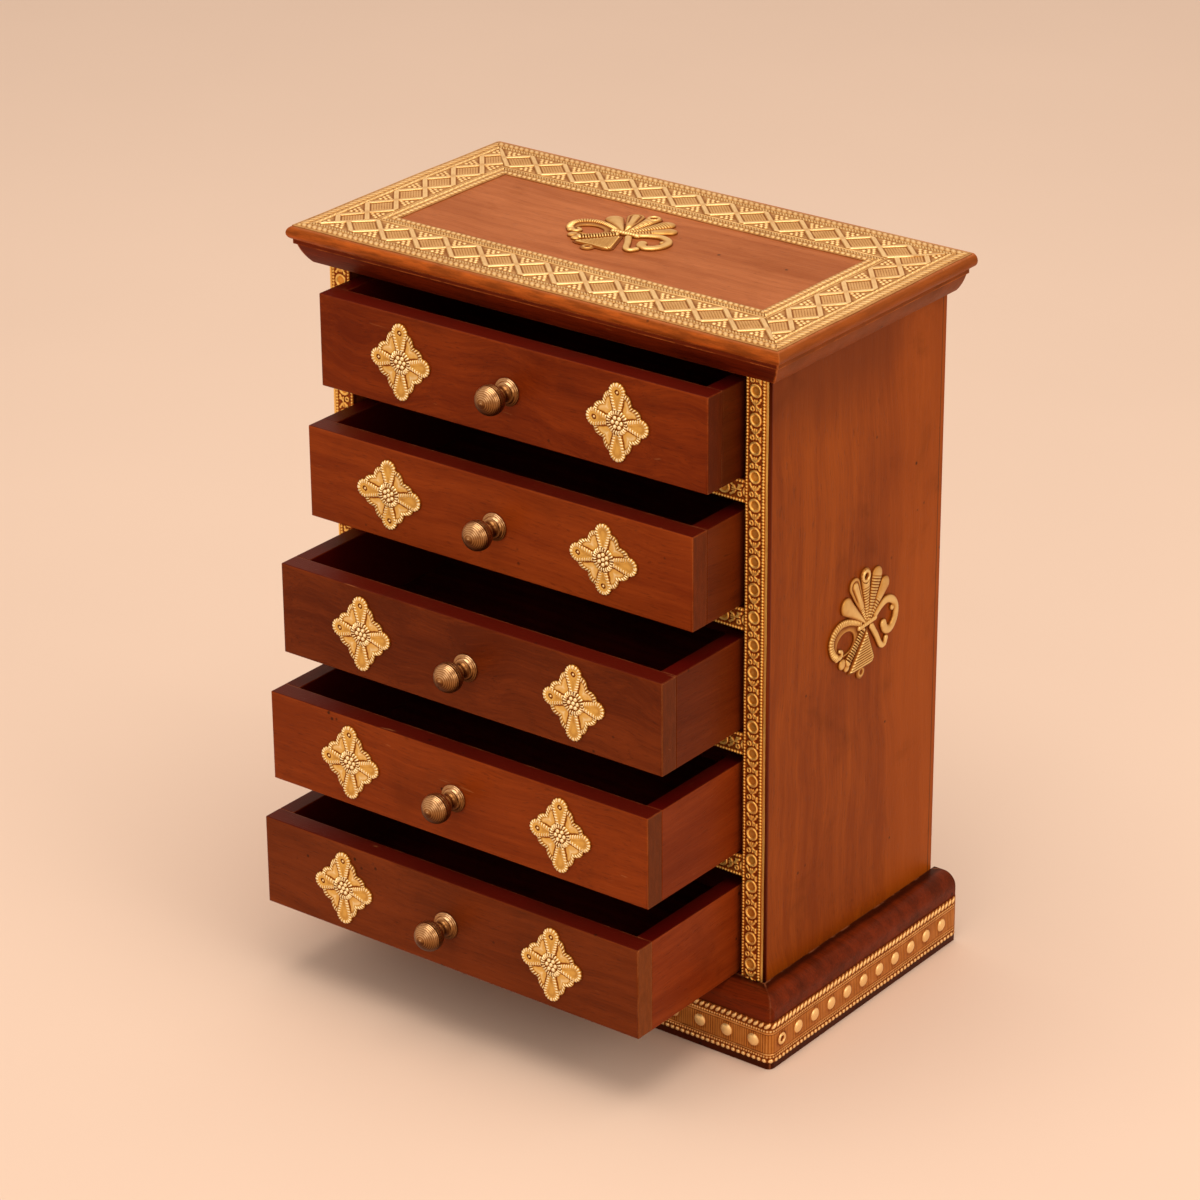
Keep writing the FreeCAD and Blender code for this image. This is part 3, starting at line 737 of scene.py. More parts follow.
def rows(along, across, look):
    # a look gives bead rows in the order that beadRow takes, and lines as centre, half width and height
    lines = [high * dome(((across - centre) / half) ** 2) for centre, half, high in look.get("lines", ())]
    return highest(*lines, *(beadRow(along, across, *row) for row in look["beads"]))


def stripEdge(a, b, look, seed, width, ends):
    # outline of a strip with slightly uneven long sides
    sway = wander(a, look["sway"], seed)
    return highest(-b - sway + look["trim"], b - width + sway + look["trim"], ends)


def squareEnds(a, halfLength):
    return np.abs(a) - halfLength + stampLook["endGap"]


# border of the top: pearls, rope, chain of lozenges, rope, small pearls

borderLook = {
    "cell": 0.33, "sheet": 0.38, "sway": 0.14, "trim": 0.25, "mitreGap": 0.06,
    # uneven feed along the strip and buckling of the sheet: amount and wave length
    "feed": (0.2, 29.0), "buckle": (0.05, 23.0),
    # width, lozenge pitch and half height, and the way the hatching leans
    "long": {"width": 35.0, "pitch": 18.4, "half": 8.9, "lean": 1.0, "seed": 0.4},
    "short": {"width": 32.2, "pitch": 20.0, "half": 8.1, "lean": -1.0, "seed": 1.9},
    # rows are counted from the outer edge, and then from the inner edge
    "outer": {"beads": ((3.2, 2.9, 1.45, 1.8, 0.42, 0.6), (6.6, 1.5, 0.58, 1.15, 0.42, 0.8)),
              "lines": ((5.2, 0.3, 0.22),)},
    "inner": {"beads": ((2.2, 2.75, 1.32, 1.2, 0.42, -0.3), (5.4, 1.5, 0.58, 1.4, 0.42, -0.8)),
              "lines": ((3.6, 0.25, 0.2), (7.2, 0.3, 0.3))},
    "band": 1.05, "bandHigh": 0.46, "bandSoft": 0.2, "beadRadius": 1.0, "beadHigh": 0.44, "fieldEdge": 0.1,
    # ticks: count, height, thinness, and where they fade at their ends and at the last one
    "ticks": 9, "tickHigh": 0.22, "tickThin": 2.3, "tickEnds": (0.86, 0.70), "lastTick": (0.92, 0.84),
    # beads in each triangle: distance from its base, and distances from its middle
    "beadRows": ((1.2, (0.0, 2.5)), (3.2, (1.25,)), (5.1, (0.0,))),
}


def latticeRelief(along, across, strip):
    look = borderLook
    pitch, half = strip["pitch"], strip["half"]
    u = nearestStep(along, pitch)
    v = across - 0.5 * strip["width"]
    lozenge = np.abs(u) / (0.5 * pitch) + np.abs(v) / half
    slope = math.hypot(2.0 / pitch, 1.0 / half)
    away = np.abs(lozenge - 1.0) / slope
    band, soft = look["band"], look["bandSoft"]
    relief = look["bandHigh"] * softStep(away, band + soft, band - soft)
    # ticks in the sunk field lie along one pair of its edges
    reach = 1.0 - band * slope
    lengthwise = (2.0 * u / pitch + strip["lean"] * v / half) / reach
    crosswise = (2.0 * u / pitch - strip["lean"] * v / half) / reach
    tick = dome((look["tickThin"] * nearestStep(lengthwise * 0.5 * look["ticks"], 1.0)) ** 2)
    field = softStep(np.abs(crosswise), *look["tickEnds"]) * softStep(np.abs(lengthwise), *look["lastTick"])
    relief = highest(relief, field * look["tickHigh"] * tick)
    du = 0.5 * pitch - np.abs(u)
    dv = half - np.abs(v)
    for row, sides in look["beadRows"]:
        for side in sides:
            squared = ((du - side) ** 2 + (dv - row) ** 2) / look["beadRadius"] ** 2
            relief = highest(relief, look["beadHigh"] * dome(squared))
    return np.where(dv > -look["fieldEdge"], relief, 0.0)


def borderMesh(name, halfLength, strip, endWidth):
    look = borderLook
    width, seed = strip["width"], strip["seed"]
    slope = endWidth / width
    feed, feedWave = look["feed"]
    buckle, buckleWave = look["buckle"]

    def outline(a, b):
        mitre = (np.abs(a) + slope * b - halfLength) / math.hypot(1.0, slope) + look["mitreGap"]
        return stripEdge(a, b, look, seed, width, mitre)

    def height(a, b):
        across = b + wander(a, look["sway"], seed)
        relief = highest(rows(a, across, look["outer"]), rows(a, width - across, look["inner"]),
                         latticeRelief(a + feed * np.sin(a / feedWave), across, strip))
        return look["sheet"] + relief + buckle * np.sin(a / buckleWave + seed)

    spans = ((-halfLength, halfLength), (0.0, width))
    return stampedMesh(name, outline, height, spans, look["cell"], "borderBrass")


low, high = inMillimetres(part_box("top_border"))
middle = [(l + h) / 2 for l, h in zip(low, high)]
longStrip, shortStrip = borderLook["long"], borderLook["short"]
longMesh = borderMesh("border_long", (high[0] - low[0]) / 2, longStrip, shortStrip["width"])
shortMesh = borderMesh("border_short", (high[1] - low[1]) / 2, shortStrip, longStrip["width"])
borderPlaces = {
    "border_front": (longMesh, (middle[0], low[1], low[2]), (1, 0, 0), (0, 1, 0)),
    "border_right": (shortMesh, (high[0], middle[1], low[2]), (0, 1, 0), (-1, 0, 0)),
    "border_back": (longMesh, (middle[0], high[1], low[2]), (-1, 0, 0), (0, -1, 0)),
    "border_left": (shortMesh, (low[0], middle[1], low[2]), (0, -1, 0), (1, 0, 0)),
}
for name, (mesh, *place) in borderPlaces.items():
    addPiece(name, mesh, "carcass", "top_border", layOn(*place))
print("top border laid")


# stiles and rails: rings, leaves and small scrolls between bead rows

stileLook = {
    "cell": 0.25, "sheet": 0.36, "sway": 0.07, "seed": 0.7, "trim": 0.15,
    "beads": ((0.9, 1.45, 0.6, 0.58, 0.5), (9.2, 1.45, 0.66, 0.75, 0.6)),
    "rings": {"centre": 5.05, "pitch": 12.58, "radius": 2.55, "thick": 0.6, "high": 0.6, "dish": 0.2,
              "squash": 1.05, "leafHigh": 0.55, "leafRoot": 0.6,
              "curl": (1.7, -1.6), "curlRadius": 0.85, "curlThick": 0.45,
              # spandrel: upper edge, start, slanting edge as factors of run and rise and a shift, fade
              "spandrelTop": 3.0, "spandrelStart": 0.6, "spandrelSlant": (0.9, -0.8, -0.1),
              "fade": (0.1, -0.5),
              # leaves from the crossing outwards: start, end, half width at the end
              "leaves": (((0.2, 0.3), (1.5, 1.5), 0.75), ((1.5, 1.5), (2.8, 2.4), 0.68),
                         ((0.3, 0.2), (2.1, 0.5), 0.5))},
    # the dished rings and the plain margin are brighter than the ground
    "dishShine": 0.3, "dishSoft": 0.8, "margin": 10.1, "marginShine": 0.4, "marginSoft": 0.3,
}
railLook = dict(stileLook, margin=10.0, rings=dict(stileLook["rings"], centre=5.2),
                beads=((0.9, 1.45, 0.66, 0.68, 0.55), (9.5, 1.45, 0.66, 0.68, 0.55)))


def toSegment(p, q, start, end):
    # distance from a segment, and share of its length
    dx, dy = end[0] - start[0], end[1] - start[1]
    t = np.clip(((p - start[0]) * dx + (q - start[1]) * dy) / (dx * dx + dy * dy), 0.0, 1.0)
    return np.hypot(p - start[0] - t * dx, q - start[1] - t * dy), t


def ringRelief(along, across, look):
    v = across - look["centre"]
    u = nearestStep(along, look["pitch"])
    out = np.hypot(u, look["squash"] * v)
    ring = look["high"] * dome(((out - look["radius"]) / look["thick"]) ** 2)
    dish = look["dish"] * np.where(out < look["radius"], (out / look["radius"]) ** 2, 0.0)
    # crossing leaves halfway between two rings; past the crossing one is a curl and one a spandrel
    w = 0.5 * look["pitch"] - np.abs(u)
    past = u < 0.0
    leaves = []
    for start, end, half in look["leaves"]:
        away, t = toSegment(w, np.abs(v), start, end)
        leaf = dome((away / (half * (look["leafRoot"] + (1.0 - look["leafRoot"]) * t))) ** 2)
        leaves.append(np.where(past & (v < 0.0), 0.0, leaf))
    curl = np.hypot(w - look["curl"][0], v - look["curl"][1]) - look["curlRadius"]
    run, rise, shift = look["spandrelSlant"]
    spandrel = highest(v - look["spandrelTop"], run * w + rise * v + shift, look["spandrelStart"] - w)
    scrolls = highest(dome((curl / look["curlThick"]) ** 2), softStep(spandrel, *look["fade"]))
    return highest(ring, dish, look["leafHigh"] * highest(np.where(past, scrolls, 0.0), *leaves))


def stripMesh(name, look, halfLength, width):
    rings = look["rings"]

    def outline(a, b):
        return stripEdge(a, b, look, look["seed"], width, squareEnds(a, halfLength))

    def height(a, b):
        across = b + wander(a, look["sway"], look["seed"])
        return look["sheet"] + highest(rows(a, across, look), ringRelief(a, across, rings))

    def shine(a, b):
        out = np.hypot(nearestStep(a, rings["pitch"]), b - rings["centre"])
        dished = softStep(out, rings["radius"], rings["radius"] - look["dishSoft"])
        margin = softStep(b, look["margin"], look["margin"] + look["marginSoft"])
        return look["dishShine"] * dished + look["marginShine"] * margin

    spans = ((-halfLength, halfLength), (0.0, width))
    return stampedMesh(name, outline, height, spans, look["cell"], "stileBrass", shine)


low, high = inMillimetres(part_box("stile_strip_right"))
mesh = stripMesh("stile", stileLook, (high[2] - low[2]) / 2, high[0] - low[0])
for side, sign in (("right", 1), ("left", -1)):
    addPiece("stile_stamped_" + side, mesh, "carcass", "stile_strip_" + side,
             layOn((sign * low[0], high[1], (low[2] + high[2]) / 2), (0, 0, -sign), (sign, 0, 0)))
railLow, railHigh = inMillimetres(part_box("rail_strips"))
dividerBoxes = [inMillimetres(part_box("divider_%d" % number)) for number in dividerNumbers]
low, high = dividerBoxes[0]
mesh = stripMesh("rail", railLook, (railHigh[0] - railLow[0]) / 2, high[2] - low[2])
for number, (low, high) in zip(dividerNumbers, dividerBoxes):
    addPiece("rail_stamped_%d" % number, mesh, "carcass", "rail_strips",
             layOn((0, railHigh[1], low[2]), (1, 0, 0), (0, 0, 1)))
print("stiles and rails laid")


# plinth strip: one length folded round three sides

plinthLook = {
    "cell": (0.31, 0.4), "sheet": 0.38, "sway": 0.1, "seed": 1.3, "trim": 0.2, "bend": 3.0, "crease": 0.6,
    "tab": 4.0, "tabFade": (0.6, 1.4),
    "beads": ((1.2, 2.7, 1.1, 1.0, 0.66), (3.1, 1.3, 0.58, 0.6, 0.4), (15.7, 1.3, 0.58, 0.65, 0.4),
              (18.2, 2.85, 1.1, 1.45, 0.7, -0.6)),
    "lines": ((4.3, 0.35, 0.3), (14.5, 0.35, 0.3)),
    "band": (4.8, 14.0), "bandSoft": 0.4, "hatchPitch": 1.2, "hatchHigh": 0.2, "hatchThin": 2.2,
    "frontPitch": 14.1, "sidePitch": 12.5, "sideStart": 7.5, "sideCount": 11,
    "domeRadius": 2.95, "domeHigh": 1.25, "domeLevel": 9.8,
    # the dome next to the right front corner is worn through, and only its ring is left
    "ringRadius": 2.0, "ringHalf": 0.85, "ringShare": 0.7,
    # the domes are rubbed bright right to their foot
    "domeShine": 0.35, "footShine": (0.9, -0.6),
}


def foldedPath(corners, radii):
    # runs and arcs through the corners; returns length and a function to place points on it
    corners = [Vector(corner) for corner in corners]
    pieces = []
    start = corners[0]
    for before, corner, after, radius in zip(corners, corners[1:], corners[2:], radii):
        arrive, leave = (corner - before).normalized(), (after - corner).normalized()
        bendStart = corner - arrive * radius
        turn = math.atan2(arrive.cross(leave), arrive.dot(leave))
        pieces.append((start, arrive, (bendStart - start).length, 0.0))
        pieces.append((bendStart, arrive, radius * abs(turn), turn))
        start = corner + leave * radius
    last = corners[-1] - start
    pieces.append((start, last.normalized(), last.length, 0.0))

    def place(s, out):
        x, y = np.zeros_like(s), np.zeros_like(s)
        gone = 0.0
        for origin, heading, length, turn in pieces:
            here = s >= gone
            run = s[here] - gone
            angle = turn * run / length
            hx = heading.x * np.cos(angle) - heading.y * np.sin(angle)
            hy = heading.x * np.sin(angle) + heading.y * np.cos(angle)
            if turn == 0.0:
                onX, onY = heading.x * run, heading.y * run
            else:
                bend = length / turn
                onX, onY = bend * (hy - heading.y), bend * (heading.x - hx)
            x[here] = origin.x + onX + hy * out[here]
            y[here] = origin.y + onY - hx * out[here]
            gone += length
        return x, y

    return sum(length for _, _, length, _ in pieces), place


plinthLow, plinthHigh = inMillimetres(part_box("plinth_strip"))
leftX = inMillimetres(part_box("plinth_left"))[0][0]
rightX, backY, _ = inMillimetres(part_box("plinth_right"))[1]
frontY = inMillimetres(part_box("plinth_front"))[0][1]
tab = plinthLook["tab"]
stripLength, stripPlace = foldedPath(
    [(leftX + tab, backY), (leftX, backY), (leftX, frontY),
     (rightX, frontY), (rightX, backY), (rightX - tab, backY)],
    [plinthLook[fold] for fold in ("crease", "bend", "bend", "crease")])
stripHalf, stripWidth = stripLength / 2, plinthHigh[2] - plinthLow[2]


def plinthAcross(a, b):
    return b + wander(a, plinthLook["sway"], plinthLook["seed"])


def plinthOutline(a, b):
    return stripEdge(a, b, plinthLook, plinthLook["seed"], stripWidth, squareEnds(a, stripHalf))


def domePlace(a, across):
    # distance from the nearest dome, and where the worn one is
    look = plinthLook
    bend = look["bend"]
    past = np.abs(a) - (rightX - bend) - bend * (0.5 * math.pi - 1.0)
    number = (past - look["sideStart"]) / look["sidePitch"]
    nearest = np.clip(np.round(number), 0, look["sideCount"] - 1)
    step = np.where(past > 0.0, (number - nearest) * look["sidePitch"], nearestStep(a, look["frontPitch"]))
    return np.hypot(step, across - look["domeLevel"]), (a > 0.0) & (past > 0.0) & (nearest == 0)


def plinthHeight(a, b):
    look = plinthLook
    across = plinthAcross(a, b)
    low, high = look["band"]
    band = softStep(across, low, low + look["bandSoft"]) * softStep(across, high, high - look["bandSoft"])
    hatch = look["hatchHigh"] * dome((look["hatchThin"] * nearestStep(a / look["hatchPitch"], 1.0)) ** 2)
    out, worn = domePlace(a, across)
    ring = look["ringShare"] * dome(((out - look["ringRadius"]) / look["ringHalf"]) ** 2)
    domes = look["domeHigh"] * np.where(worn, ring, dome((out / look["domeRadius"]) ** 2))
    tabs = softStep(np.abs(a), *(stripHalf - tab - fade for fade in look["tabFade"]))
    return look["sheet"] + tabs * highest(rows(a, across, look), band * hatch, domes)


def plinthShine(a, b):
    out, worn = domePlace(a, plinthAcross(a, b))
    foot = softStep(out, *(plinthLook["domeRadius"] + past for past in plinthLook["footShine"]))
    return np.where(worn, 0.0, plinthLook["domeShine"] * foot)


def plinthFold(points):
    x, y = stripPlace(np.clip(points[:, 0] + stripHalf, 0.0, stripLength), points[:, 2])
    return np.stack([x, y, points[:, 1] + plinthLow[2]], axis=1)


mesh = stampedMesh("plinth_stamped", plinthOutline, plinthHeight,
                   ((-stripHalf, stripHalf), (0.0, stripWidth)), plinthLook["cell"], "plinthBrass",
                   plinthShine, plinthFold)
addPiece("plinth_stamped", mesh, "carcass", "plinth_strip")
print("plinth strip folded, length in mm:", round(stripLength))


# medallions: four petals edged with nicked rope on a scalloped lozenge, beads in a ring

medallionLook = {
    "cell": 0.18, "sheet": 0.4, "half": (16.2, 17.6),
    # petals: centre of the tip and its radius
    "tips": {"north": (0.0, 13.2, 4.35), "south": (0.0, -13.2, 4.35),
             "east": (11.9, 0.0, 4.25), "west": (-11.9, 0.0, 4.25)},
    "root": 4.8, "rootRadius": 2.0, "petalHigh": 0.5, "petalRise": (0.0, -0.5),
    "petalDish": 0.12, "dishSpan": (-1.7, -3.0),
    # a bright pin head stands in the dark hole of two petals
    "pinned": ("north", "west"), "pinRadius": 1.2, "pinHole": -0.3, "pinHigh": 0.9, "pinHead": 0.6,
    "lozenge": (14.8, 16.2), "scallopSpan": (0.19, 0.81), "scallopHigh": 1.7, "recess": 0.05,
    "swell": 0.22, "swellSpan": (-5.0, -2.2),
    "ropeHalf": 1.05, "ropeHigh": 0.95, "ropePitch": 1.25, "ropeInset": 1.0, "lozengeRope": 0.85,
    "nick": 0.8, "nickSpan": (-0.6, 0.7),
    "ringRadius": 4.45, "ringHalf": 1.1, "ringHigh": 1.1, "ringTicks": 23, "ringGround": 0.1,
    "beads": 6, "beadRadius": 1.02, "beadOut": 2.25, "beadHigh": 1.15,
    # the ground between the petals is as bright as they are
    "shine": 0.24, "shineSpan": (0.2, 1.0), "shineSoft": 0.6,
}


def taperedPetal(p, q, root, tip, rootRadius, tipRadius):
    # signed distance, share of the half width and run along the middle
    away, t = toSegment(p, q, root, tip)
    radius = rootRadius + (tipRadius - rootRadius) * t
    return away - radius, away / radius, t * math.dist(root, tip)


def ribbed(run, pitch, depth, span):
    return 1.0 - depth * (1.0 - softStep(np.cos(2.0 * math.pi * run / pitch), *span))


def nickedRope(distance, run, half, pitch, high):
    look = medallionLook
    return high * dome((distance / half) ** 2) * ribbed(run, pitch, look["nick"], look["nickSpan"])


def medallionPetals(p, q):
    # name, tip, signed distance and run along the edge of each petal
    look = medallionLook
    petals = []
    for name, (x, y, radius) in look["tips"].items():
        far = math.hypot(x, y)
        share = look["root"] / far
        distance, _, _ = taperedPetal(p, q, (x * share, y * share), (x, y), look["rootRadius"], radius)
        forward = (p - x) * (x / far) + (q - y) * (y / far)
        aside = np.abs((q - y) * (x / far) - (p - x) * (y / far))
        bend = (radius - look["ropeInset"]) * np.arctan2(forward, aside)
        petals.append((name, (x, y), distance, np.where(forward < 0.0, forward, bend)))
    return petals


def medallionEdge(p, q):
    # lozenge behind the petals with two shallow scallops a side, and the run along its edge
    look = medallionLook
    wide, tall = look["lozenge"]
    aside, up = np.abs(p) / wide, np.abs(q) / tall
    share = aside / np.maximum(aside + up, 1e-6)
    low, high = look["scallopSpan"]
    swing = np.abs(np.sin(2.0 * math.pi * (share - low) / (high - low)))
    bulge = look["scallopHigh"] * np.where((share > low) & (share < high), swing, 0.0)
    return (aside + up - 1.0) / math.hypot(1.0 / wide, 1.0 / tall) - bulge, share * math.hypot(wide, tall)


def petalOutline(p, q):
    return np.minimum.reduce([distance for _, _, distance, _ in medallionPetals(p, q)])


def medallionOutline(p, q):
    return np.minimum(petalOutline(p, q), medallionEdge(p, q)[0])


def medallionHeight(p, q):
    look = medallionLook
    ropeHalf, ropeHigh, ropePitch = look["ropeHalf"], look["ropeHigh"], look["ropePitch"]
    edge, run = medallionEdge(p, q)
    rope = nickedRope(edge + ropeHalf, run, ropeHalf, ropePitch, look["lozengeRope"] * ropeHigh)
    relief = highest(look["recess"] + look["swell"] * softStep(edge, *look["swellSpan"]), rope)
    for name, tip, distance, run in medallionPetals(p, q):
        petal = look["petalHigh"] * softStep(distance, *look["petalRise"])
        petal -= look["petalDish"] * softStep(distance, *look["dishSpan"])
        petal = highest(petal, nickedRope(distance + ropeHalf, run, ropeHalf, ropePitch, ropeHigh))
        relief = np.where(distance < 0.0, petal, relief)
        if name in look["pinned"]:
            out = np.hypot(p - tip[0], q - tip[1]) / look["pinRadius"]
            pin = look["pinHole"] + look["pinHigh"] * dome((out / look["pinHead"]) ** 2)
            relief = np.where(out < 1.0, pin, relief)
    out = np.hypot(p, q)
    ringRun = np.arctan2(q, p) * look["ringTicks"] / (2.0 * math.pi)
    ring = nickedRope(out - look["ringRadius"], ringRun, look["ringHalf"], 1.0, look["ringHigh"])
    within = out < look["ringRadius"] + look["ringHalf"]
    relief = np.where(within, np.maximum(ring, look["ringGround"]), relief)
    angles = [2.0 * math.pi * step / look["beads"] for step in range(look["beads"])]
    centres = [(look["beadOut"] * math.cos(angle), look["beadOut"] * math.sin(angle)) for angle in angles]
    for x, y in centres + [(0.0, 0.0)]:
        squared = ((p - x) ** 2 + (q - y) ** 2) / look["beadRadius"] ** 2
        relief = highest(relief, look["beadHigh"] * dome(squared))
    return look["sheet"] + relief


def medallionShine(p, q):
    look = medallionLook
    rope = 2.0 * look["ropeHalf"]
    ground = softStep(medallionEdge(p, q)[0], -rope, -rope - look["shineSoft"])
    return look["shine"] * softStep(petalOutline(p, q), *look["shineSpan"]) * ground


halfWide, halfTall = medallionLook["half"]
mesh = stampedMesh("medallion", medallionOutline, medallionHeight,
                   ((-halfWide, halfWide), (-halfTall, halfTall)), medallionLook["cell"], "stampedBrass",
                   medallionShine)
for number in drawerNumbers:
    drawer = "drawer_%d" % number
    low, high = inMillimetres(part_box(drawer + "_medallions"))
    tall = high[2] - low[2]
    # some are nailed on a quarter turn round
    quarterTurned = tall < halfWide + halfTall
    along, across = ((0, 0, 1), (-1, 0, 0)) if quarterTurned else ((1, 0, 0), (0, 0, 1))
    reach = high[0] - (halfTall if quarterTurned else halfWide)
    for side, x in (("left", -reach), ("right", reach)):
        addPiece("medallion_%d_%s" % (number, side), mesh, drawer, drawer + "_medallions",
                 layOn((x, high[1], low[2] + tall / 2), along, across))
print("medallions laid")


# plume ornament: a fan of petals over a knot, a pierced loop and a scroll, a cord and a sheaf below

plumeLook = {
    "cell": 0.24, "sheet": 0.42, "spans": ((-29.5, 26.0), (-26.5, 27.0)),
    # petals: root, tip, root radius, tip radius, height, ribbed share of the length
    "petals": (((-1.6, 1.0), (-15.2, 12.8), 0.8, 4.2, 1.3, 0.0),
               ((-1.0, 1.6), (-9.2, 20.2), 1.0, 4.0, 1.1, 0.35),
               ((-0.1, 2.0), (-1.2, 22.4), 1.1, 3.8, 1.15, 0.74),
               ((1.0, 1.8), (7.6, 19.8), 1.1, 4.0, 1.2, 1.0),
               ((2.0, 1.4), (13.6, 13.6), 1.0, 3.6, 1.1, 0.55)),
    "petalRib": 1.3, "petalNick": 0.42, "petalCrown": 0.6, "ribEnd": 0.06, "ribSpan": (-0.8, 0.6),
    "overlap": 0.5,
    # one petal has a groove beside its middle, and the tip of one is rolled into a rim round the pin hole
    "grooved": 1, "grooveDepth": 0.45, "grooveAt": 0.55, "grooveHalf": 0.16, "grooveSpan": (0.45, 0.7),
    "curled": 2, "pinRadius": 0.95, "rimRadius": 2.3, "rimHalf": 0.9, "rimGround": 0.2,
    # strokes: points, radius at each end, height, rib pitch, rib depth
    "strokes": (
        (((-5.2, 1.6), (-10.2, 4.0), (-15.8, 5.6), (-20.8, 5.4), (-25.0, 2.8), (-26.6, -1.0), (-25.2, -5.6),
          (-22.4, -8.6)), 1.6, 1.9, 1.15, 1.2, 0.35),
        (((-22.4, -8.6), (-19.6, -8.8), (-18.9, -6.9), (-20.4, -6.0)), 1.7, 0.9, 1.0, 9.0, 0.0),
        (((6.2, 1.6), (10.2, 4.2), (15.2, 5.6), (19.8, 3.9), (22.3, 0.0), (22.0, -4.6), (19.6, -8.1),
          (16.8, -9.0), (14.2, -7.6), (13.0, -5.1)), 1.8, 2.3, 1.15, 9.0, 0.0),
        (((3.7, -2.6), (7.6, -8.4), (11.0, -14.0), (13.8, -14.8), (15.2, -12.4)), 1.7, 1.5, 1.05, 9.0, 0.0),
        (((-3.0, -2.3), (-8.2, -7.8), (-13.8, -13.4)), 1.7, 2.3, 1.25, 1.2, 0.75),
        (((-6.0, -0.3), (0.0, 0.1), (6.2, 0.5)), 1.35, 1.35, 1.5, 1.3, 0.12),
    ),
    # small raised nubs: centre, radius, height
    "nubs": ((-18.0, -13.0, 2.6, 0.95), (-14.6, -15.6, 2.2, 0.85), (19.8, 0.4, 1.6, 0.9)),
    # plates: loop with its hole, sheaf, and the disc below it with a raised ring
    "loop": ((-17.0, -1.4), (10.8, 8.6)), "hole": ((-15.8, -3.9), (6.3, 4.9)), "plateHigh": 0.35,
    "plateRise": (0.0, -0.6),
    "sheaf": ((0.6, -2.6), (6.6, -17.6), (5.6, -19.8), (3.4, -20.6), (-11.0, -20.4), (-13.0, -19.4)),
    "sheafGrow": 0.4, "sheafHigh": 0.95, "sheafRise": (-0.2, -1.2), "hatchPitch": 1.2, "hatchDepth": 0.45,
    "disc": (-3.6, -21.8, 3.3), "discHigh": 0.25, "discRing": 1.6, "discRingHalf": 0.7, "discRingHigh": 0.55,
    # middle of the ornaments: depth and height on the sides, and place on the top
    "onSide": (7.2, 177.6), "onTop": (-4.2, -1.4),
}


def smoothRun(points, steps=5):
    # Catmull-Rom through the points
    points = [np.array(point, float) for point in points]
    padded = [2 * points[0] - points[1]] + points + [2 * points[-1] - points[-2]]
    run = []
    for before, start, end, after in zip(padded, padded[1:], padded[2:], padded[3:]):
        for step in range(steps):
            t = step / steps
            run.append(0.5 * (2 * start + (end - before) * t
                              + (2 * before - 5 * start + 4 * end - after) * t ** 2
                              + (3 * start - before - 3 * end + after) * t ** 3))
    return run + [points[-1]]


def strokeField(p, q, points, startRadius, endRadius):
    # signed distance, share of the radius from the centre line, and run along the stroke
    line = smoothRun(points)
    lengths = [np.linalg.norm(end - start) for start, end in zip(line, line[1:])]
    total = sum(lengths)
    best = share = np.full_like(p, 1e3)
    run = np.zeros_like(p)
    gone = 0.0
    for start, end, length in zip(line, line[1:], lengths):
        away, t = toSegment(p, q, start, end)
        here = gone + t * length
        radius = startRadius + (endRadius - startRadius) * here / total
        nearer = away - radius < best
        best = np.where(nearer, away - radius, best)
        share = np.where(nearer, away / radius, share)
        run = np.where(nearer, here, run)
        gone += length
    return best, share, run


def polygonField(p, q, corners):
    # signed distance to a closed polygon
    best = np.full_like(p, 1e3)
    inside = np.zeros(p.shape, bool)
    for start, end in zip(corners, corners[1:] + corners[:1]):
        best = np.minimum(best, toSegment(p, q, start, end)[0])
        spans = (start[1] > q) != (end[1] > q)
        cross = (end[0] - start[0]) * (q - start[1]) / (end[1] - start[1] + 1e-12) + start[0]
        inside ^= spans & (p < cross)
    return np.where(inside, -best, best)


def ovalField(p, q, oval):
    (x, y), (wide, tall) = oval
    return (np.hypot((p - x) / wide, (q - y) / tall) - 1.0) * min(wide, tall)


def discField(p, q, x, y, radius):
    return np.hypot(p - x, q - y) - radius


def plumeShapes(p, q):
    # petals and strokes as fields of distance, share and run, the others as signed distances
    look = plumeLook
    return SimpleNamespace(
        petals=[taperedPetal(p, q, *petal[:4]) for petal in look["petals"]],
        strokes=[strokeField(p, q, *stroke[:3]) for stroke in look["strokes"]],
        nubs=[discField(p, q, *nub[:3]) for nub in look["nubs"]],
        loop=np.maximum(ovalField(p, q, look["loop"]), -ovalField(p, q, look["hole"])),
        sheaf=polygonField(p, q, look["sheaf"]), disc=discField(p, q, *look["disc"]))


def plumeOutline(p, q):
    look, shapes = plumeLook, plumeShapes(p, q)
    solid = [distance for distance, _, _ in shapes.petals + shapes.strokes]
    solid += shapes.nubs + [shapes.loop, shapes.sheaf - look["sheafGrow"], shapes.disc]
    pinHole = discField(p, q, *look["petals"][look["curled"]][1], look["pinRadius"])
    return np.maximum(np.minimum.reduce(solid), -pinHole)


def plumePetal(p, q, number, share, run):
    look = plumeLook
    root, tip, _, _, tall, ribs = look["petals"][number]
    along = run / math.dist(root, tip)
    relief = tall * (1.0 - np.clip(share, 0.0, 1.0) ** 2) ** look["petalCrown"]
    if number == look["grooved"]:
        groove = np.exp(-((share - look["grooveAt"]) / look["grooveHalf"]) ** 2)
        relief -= look["grooveDepth"] * groove * softStep(along, *look["grooveSpan"])
    if number == look["curled"]:
        out = np.hypot(p - tip[0], q - tip[1])
        rim = tall * dome(((out - look["rimRadius"]) / look["rimHalf"]) ** 2)
        within = out < look["rimRadius"] + look["rimHalf"]
        relief = np.where(within, np.maximum(rim, look["rimGround"]), relief)
    if ribs > 0.0:
        stem = softStep(along, ribs + look["ribEnd"], ribs - look["ribEnd"])
        nicks = ribbed(run, look["petalRib"], look["petalNick"], look["ribSpan"])
        relief = relief * (1.0 - stem * (1.0 - nicks))
    return relief


